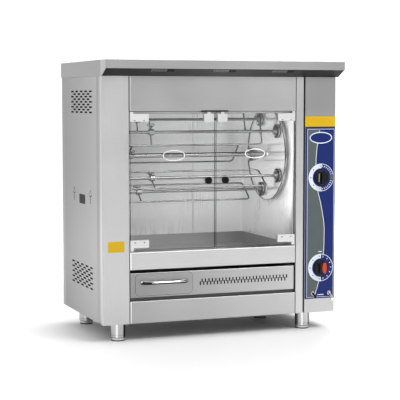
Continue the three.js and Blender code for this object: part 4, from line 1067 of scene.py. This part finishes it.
def add_door_knob(name, body):
    low, high = extent(name)
    centre = middle(name)
    depth = high.y - low.y
    profile = rounded([
        (0, 0), (0, 9.5), (-4, 8.6), (-8, 9.4), (-9.5, 14.4), (-14, 15), (3 - depth, 14.4), (-depth, 10.5),
        (-depth, 0),
    ], 1.0, 2)
    bm = turned(bmesh.new(), profile, (centre.x, high.y, centre.z), "y", 72, shape=fluted(12, 0.045, -9))
    piece(name, bm, MATT_BLACK, body, "black_plastic", name)


def fluted(flutes, share, start):
    """The shape of a turned knob with flutes, as deep as that share of its radius, in front of start."""
    def shape(angle, distance):
        return 1 - share * (0.5 + 0.5 * math.cos(flutes * angle)) if distance < start else 1
    return shape


# ---------------------------------------------------------------- drawer

DRAWER_VENTS = 26
DRAWER_VENT_START = 402
DRAWER_VENT_PITCH = 14.8
DRAWER_VENT_BOTTOM = 139
DRAWER_VENT_WIDTH = 5.5
DRAWER_VENT_HEIGHT = 15
DRAWER_VENT_RISE = 11
HANDLE_PLATE = (133, 109, 371, 195)


def add_drawer():
    low, high = extent("drawer_box")
    bm = bmesh.new()
    face = [(13, low.z + HALF), (HALF, low.z + HALF), (HALF, high.z - HALF), (FLANGE, high.z - HALF)]
    folded(bm, face, 2.2, "x", low.x, high.x)
    eased(bm, 0.3, 1)
    cutters = bmesh.new()
    for row in range(2):
        z = DRAWER_VENT_BOTTOM + DRAWER_VENT_RISE * row
        for i in range(DRAWER_VENTS):
            x = DRAWER_VENT_START + (i + row / 2) * DRAWER_VENT_PITCH
            vent = rounded_rectangle(x, z, x + DRAWER_VENT_WIDTH, z + DRAWER_VENT_HEIGHT, 1.8, 3)
            slab(cutters, vent, -5, 12, 1)
    bm = carved(bm, cutters)
    piece("drawer_front", bm, [STEEL_DRAWER, SHADE_AND_PRINT_BLACK], "drawer", "brushed_steel", "drawer_box")
    # Painted shade: a near-black plate behind the vents, whose cut walls are near black too.
    baffle = eased(blocks(((395, 1.6, 134), (800, 2.1, 170))), 0.2, 1)
    piece("drawer_vent_shade_baffle", baffle, SHADE_AND_PRINT_BLACK, "drawer", "brushed_steel")
    bm = bmesh.new()
    x0, x1, y0, y1, z0, z1 = 114, 811, 2.2, high.y, 103.8, 190
    tray = [(y0 + HALF, z1), (y0 + HALF, z0 + HALF), (y1 - HALF, z0 + HALF), (y1 - HALF, z1)]
    folded(bm, tray, 3, "x", x0 + SHEET, x1 - SHEET)
    for x in (x0, x1 - SHEET):
        block(bm, (x, y0, z0), (x + SHEET, y1, z1))
    piece("drawer_tray", eased(bm, 0.25, 1), STEEL_REAR, "drawer", "brushed_steel")
    bm = bmesh.new()
    slab(bm, rounded_rectangle(*HANDLE_PLATE, 18, 8), -1.0, 0.95)
    eased(bm, 0.7)
    x0, z0, x1, z1 = HANDLE_PLATE
    # A painted shade line round the plate's edge, behind it.
    slab(bm, rounded_rectangle(x0 - 1.2, z0 - 1.2, x1 + 1.2, z1 + 1.2, 19.2, 8), -0.4, 0.4, 1)
    piece("drawer_handle_plate", bm, [STEEL_PLATE, GAP_SHADE], "drawer", "brushed_steel")


def add_handle():
    """A cast bow handle: thick flared feet and a slim middle, standing off the drawer."""
    low, high = extent("drawer_handle")
    centre = middle("drawer_handle")
    half = (high.x - low.x) / 2 - 9
    reach = -low.y - 6.5
    line, radii = [], []
    steps = 40
    for i in range(steps + 1):
        t = -1 + 2 * i / steps
        bow = reach * (1 - abs(t) ** 5)
        line.append((centre.x + half * t * (1 + 0.02 * (1 - t * t)), -1.2 - bow, centre.z))
        radii.append(5.8 + 4.0 * abs(t) ** 3)
    bm = tube(bmesh.new(), line, radii, 20)
    bmesh.ops.recalc_face_normals(bm, faces=bm.faces)
    # Painted shade and dark reflection: the underside, and the inner side of the left foot, are black.
    painted(bm, 1, lambda normal, place: normal.z < (0.55 if low.x + 8 < place.x < low.x + 40 else -0.15))
    piece("drawer_handle", bm, [CHROME, BLACK], "drawer", "chrome", "drawer_handle")


# ---------------------------------------------------------------- controls

DIAL_X = 936
UPPER_DIAL_Z = 557.5
LOWER_DIAL_Z = 185
# The printed rings round a dial, as radii from the outside in.
RING_OUTER = 57
SCALE_OUTER = 56.5
SCALE_LINE = 54.3
RING_INNER = 38.5
PRINT_DEPTH = 0.12


def divider():
    """The wavy line between the two fields of the fascia, from top to bottom."""
    controls = [
        (929, 757), (919, 700), (912, 620), (918, 520), (936, 445), (950, 365), (951, 300), (948, 240),
        (932, 145), (915, 84), (907, 62),
    ]
    points = []
    for i in range(len(controls) - 1):
        a, b, c, d = (Vector(controls[min(max(i + k, 0), len(controls) - 1)]) for k in (-1, 0, 1, 2))
        for step in range(6):
            t = step / 6
            curve = (2 * a - 5 * b + 4 * c - d) * t ** 2 + (3 * b - a - 3 * c + d) * t ** 3
            points.append(tuple(0.5 * (2 * b + (c - a) * t + curve)))
    points.append(controls[-1])
    return points


def add_fascia():
    low, high = extent("control_fascia")
    front = low.y
    bm = bmesh.new()
    board = rounded_rectangle(low.x, low.z, high.x, high.z, 2, 3)
    slab(bm, board, front + 3 * PRINT_DEPTH, high.y - front - 3 * PRINT_DEPTH)
    x0, z0, x1, z1 = low.x + 8, low.z + 5, high.x - 3.5, high.z - 5
    line = 2.2

    def printed(points, layer, finish):
        slab(bm, points, front + (3 - layer) * PRINT_DEPTH, PRINT_DEPTH * 0.98, finish)

    def ring(z, outer, inner, start, end, layer, finish, steps=40):
        printed(arc(DIAL_X, z, outer, inner, start, end, steps), layer, finish)

    wave = divider()
    inner_left, bottom, top = x0 + line, z0 + line, z1 - line
    field = [(inner_left, top), *((x, min(max(z, bottom), top)) for x, z in wave), (inner_left, bottom)]
    printed(field, 1, 1)
    frame_out = [(x0, z0), (x1, z0), (x1, z1), (x0, z1)]
    frame_in = [(inner_left, bottom), (x1 - line, bottom), (x1 - line, top), (inner_left, top)]
    for k in range(4):
        printed([frame_out[k - 1], frame_out[k], frame_in[k], frame_in[k - 1]], 1, 2)
    printed(ribbon([p for p in wave if bottom < p[1] < top], 2.6), 2, 3)
    for z, scales in ((UPPER_DIAL_Z, ((12, 88), (-88, -12))), (LOWER_DIAL_Z, ((-88, 88),))):
        ring(z, RING_OUTER, RING_INNER, 88, 272, 3, 3)
        ring(z, RING_INNER, 0.5, 0, 359.9, 3, 0)
        for start, end in scales:
            ring(z, SCALE_OUTER, SCALE_LINE, start, end, 3, 3)
            ring(z, SCALE_LINE, RING_INNER, start, end, 2, 0)
            for k in range(7):
                tick = start + (end - start) * (k + 0.5) / 7
                ring(z, 50, 43, tick - 1.6, tick + 1.6, 3, 3, 2)
        for tick in (96, 138, 180, 222, 264):
            angle = math.radians(tick)
            dot = ellipse(DIAL_X + 47.5 * math.cos(angle), z + 47.5 * math.sin(angle), 2.4, 2.4, 16)
            slab(bm, dot, front - 0.05, 0.1)
    ring(UPPER_DIAL_Z, 56, 40, -11, 11, 2, 1, 8)
    printed(ellipse(933.6, 720.7, 51, 24), 3, 3)
    slab(bm, ellipse(933.6, 720.7, 47, 20), front - 0.06, 0.08)
    printed(rounded_rectangle(925, 250, 942, 253.4, 1.2, 2), 3, 3)
    printed(rounded_rectangle(922, 70.8, 951, 74.2, 1.2, 2), 3, 3)
    finishes = [NAVY, GREY_GREEN, PALE, WHITE]
    piece("control_fascia", bm, finishes, "body", "fascia_print", "control_fascia", smooth=20)


def add_dial(name, body, lens):
    """A fluted skirt with a grip bar across it, and a red window or a silver mark beside the bar."""
    low, high = extent(name)
    radius = (high.x - low.x) / 2
    z = middle(name).z
    depth = high.y - low.y
    skirt = rounded([
        (0, 0), (0, radius - 1.5), (-3, radius), (-6, radius - 1), (-depth * 0.62, radius - 4.5),
        (-depth * 0.66, 0),
    ], 1.2, 3)
    bm = turned(bmesh.new(), skirt, (DIAL_X, high.y, z), "y", 96, shape=fluted(32, 0.012, -2))
    left, right = (-0.5, -0.1) if lens else (-0.27, 0.27)
    half_length = radius * 0.84
    grip = rounded_rectangle(
        DIAL_X + left * radius, z - half_length, DIAL_X + right * radius, z + half_length, radius * 0.18, 6
    )
    top = bmesh.new()
    slab(top, grip, low.y + 0.5, depth * 0.42)
    merge(bm, eased(top, 2.4, 4, 60))
    if lens:
        window = bmesh.new()
        red = ellipse(DIAL_X + radius * 0.28, z, radius * 0.36, radius * 0.78, 40)
        slab(window, red, high.y - depth * 0.76, depth * 0.14, 1)
        merge(bm, eased(window, 1.2, 3, 60))
    else:
        inlay = rounded_rectangle(DIAL_X - 19.5, z - 17, DIAL_X - 17, z + 17, 1, 2)
        slab(bm, inlay, high.y - depth * 0.69, 1.5, 2)
    piece(name, bm, [BLACK, RED, SILVER_INLAY], body, "black_plastic", name)


def merge(bm, other):
    """Adds other's shape to bm."""
    mesh = bpy.data.meshes.new("merge")
    other.to_mesh(mesh)
    other.free()
    bm.from_mesh(mesh)
    bpy.data.meshes.remove(mesh)


def add_toggle(name, body, finish, slot, lean, places, radii):
    """A collar on the fascia, and a lever leaning down by lean degrees from a ball at its mouth. The
    lever's radii are given at places along it from the ball's centre."""
    face = extent(name)[1].y
    x = middle(name).x
    z = 79
    collar = [
        (0, 5.2), (0, 8.2), (-1.2, 8.2), (-1.2, 7), (-5, 6.8), (-5.4, 6.4), (-5.4, 5.4), (-5.2, 5.2), (0, 5.2)
    ]
    piece(f"{body}_collar", turned(bmesh.new(), collar, (x, face, z), "y", 36), CHROME, "body", "chrome")
    lean = math.radians(lean)
    pivot = Vector((x, face - 7, z))
    ball_radius = 4.4
    turns = [math.radians(angle) for angle in range(-75, 90, 15)]
    ball = [(ball_radius * math.sin(turn), ball_radius * math.cos(turn)) for turn in turns]
    bm = turned(bmesh.new(), [(-ball_radius, 0), *ball, (ball_radius, 0)], pivot, "x", 24)
    ahead = Vector((0, -math.cos(lean), -math.sin(lean)))
    tube(bm, [pivot + ahead * place for place in places], radii, 20)
    piece(name, bm, finish, body, slot, name)


def add_controls():
    add_fascia()
    add_dial("upper_dial_knob", "upper_dial", False)
    add_dial("lower_dial_knob", "lower_dial", True)
    short = (0, 5, 13, 19, 22.5, 24.2, 25), (3.2, 3.6, 4.2, 4.9, 4.9, 3.8, 1.9)
    long = (0, 5, 17, 31, 35.5, 38, 39.2), (4, 4.2, 5.4, 6.1, 6.1, 4.8, 2.4)
    add_toggle("left_toggle_switch", "left_switch", BLACK, "black_plastic", 28, *short)
    add_toggle("right_toggle_switch", "right_switch", BRIGHT_CHROME_AND_HIGHLIGHT, "chrome", 42, *long)


# ---------------------------------------------------------------- legs

# Painted reflections: dark and bright stripes, in degrees round a leg, that keep polished tube looking
# polished under soft light.
LEG_PAINTED_DARK_REFLECTIONS = (-61, -21), (159, 187), (55, 80)
LEG_PAINTED_HIGHLIGHTS = (-124, -106), (5, 20), (105, 120)
LEG_RADIUS = 30
FOOT_RADIUS = 28
THREAD_RADIUS = 11.4


def in_stripe(turn, stripes):
    return any((turn - start) % 360 < end - start for start, end in stripes)


def add_legs():
    for place in ("front_left", "front_right", "rear_left", "rear_right"):
        leg, foot = f"leg_{place}", f"foot_{place}"
        centre = middle(leg)
        axis = (centre.x, centre.y, 0)
        end = extent(leg)[0].z
        floor = extent(foot)[0].z
        top = SHEET - 2
        profile = [
            (top, 0), (top, LEG_RADIUS), (-46, LEG_RADIUS), (-46.6, 29.2), (-47.8, 29.2), (-48.4, LEG_RADIUS),
            (end + 1, LEG_RADIUS), (end, 29), (end, THREAD_RADIUS), (-8, THREAD_RADIUS), (-8, 0),
        ]
        bm = turned(bmesh.new(), profile, axis, "z", 64)
        # Painted reflections: faces in the stripes take dark or bright chrome.
        for face in bm.faces:
            out = face.calc_center_median() - centre
            turn = math.degrees(math.atan2(out.y, out.x))
            if in_stripe(turn, LEG_PAINTED_DARK_REFLECTIONS):
                face.material_index = 1
            elif in_stripe(turn, LEG_PAINTED_HIGHLIGHTS):
                face.material_index = 2
        piece(leg, bm, [LEG_STEEL, PAINTED_DARK_REFLECTION, BRIGHT_CHROME_AND_HIGHLIGHT], "body", "chrome", leg)
        sole = floor + 4
        cup = [
            (-20, 0), (-20, 9), (-21, 10), (end - 1.5, 10), (end - 1.5, 27), (end - 2.3, FOOT_RADIUS),
            (sole + 0.5, FOOT_RADIUS), (sole, 27), (sole, 0),
        ]
        bm = turned(bmesh.new(), cup, axis, "z", 64, 1)
        pad = [(sole, 0), (sole, 26.5), (floor + 0.8, 27.6), (floor, 27), (floor, 0)]
        turned(bm, pad, axis, "z", 64)
        piece(foot, bm, [RUBBER, CHROME], foot, "foot_rubber", foot)


add_camera()
add_studio()
add_hood()
add_side_panel()
add_front_sheets()
add_gap_strips()
add_lintel_hem()
add_rear()
add_gland()
add_labels_and_marks()
add_chamber()
add_drive()
add_spits()
add_doors()
add_drawer()
add_handle()
add_controls()
add_legs()
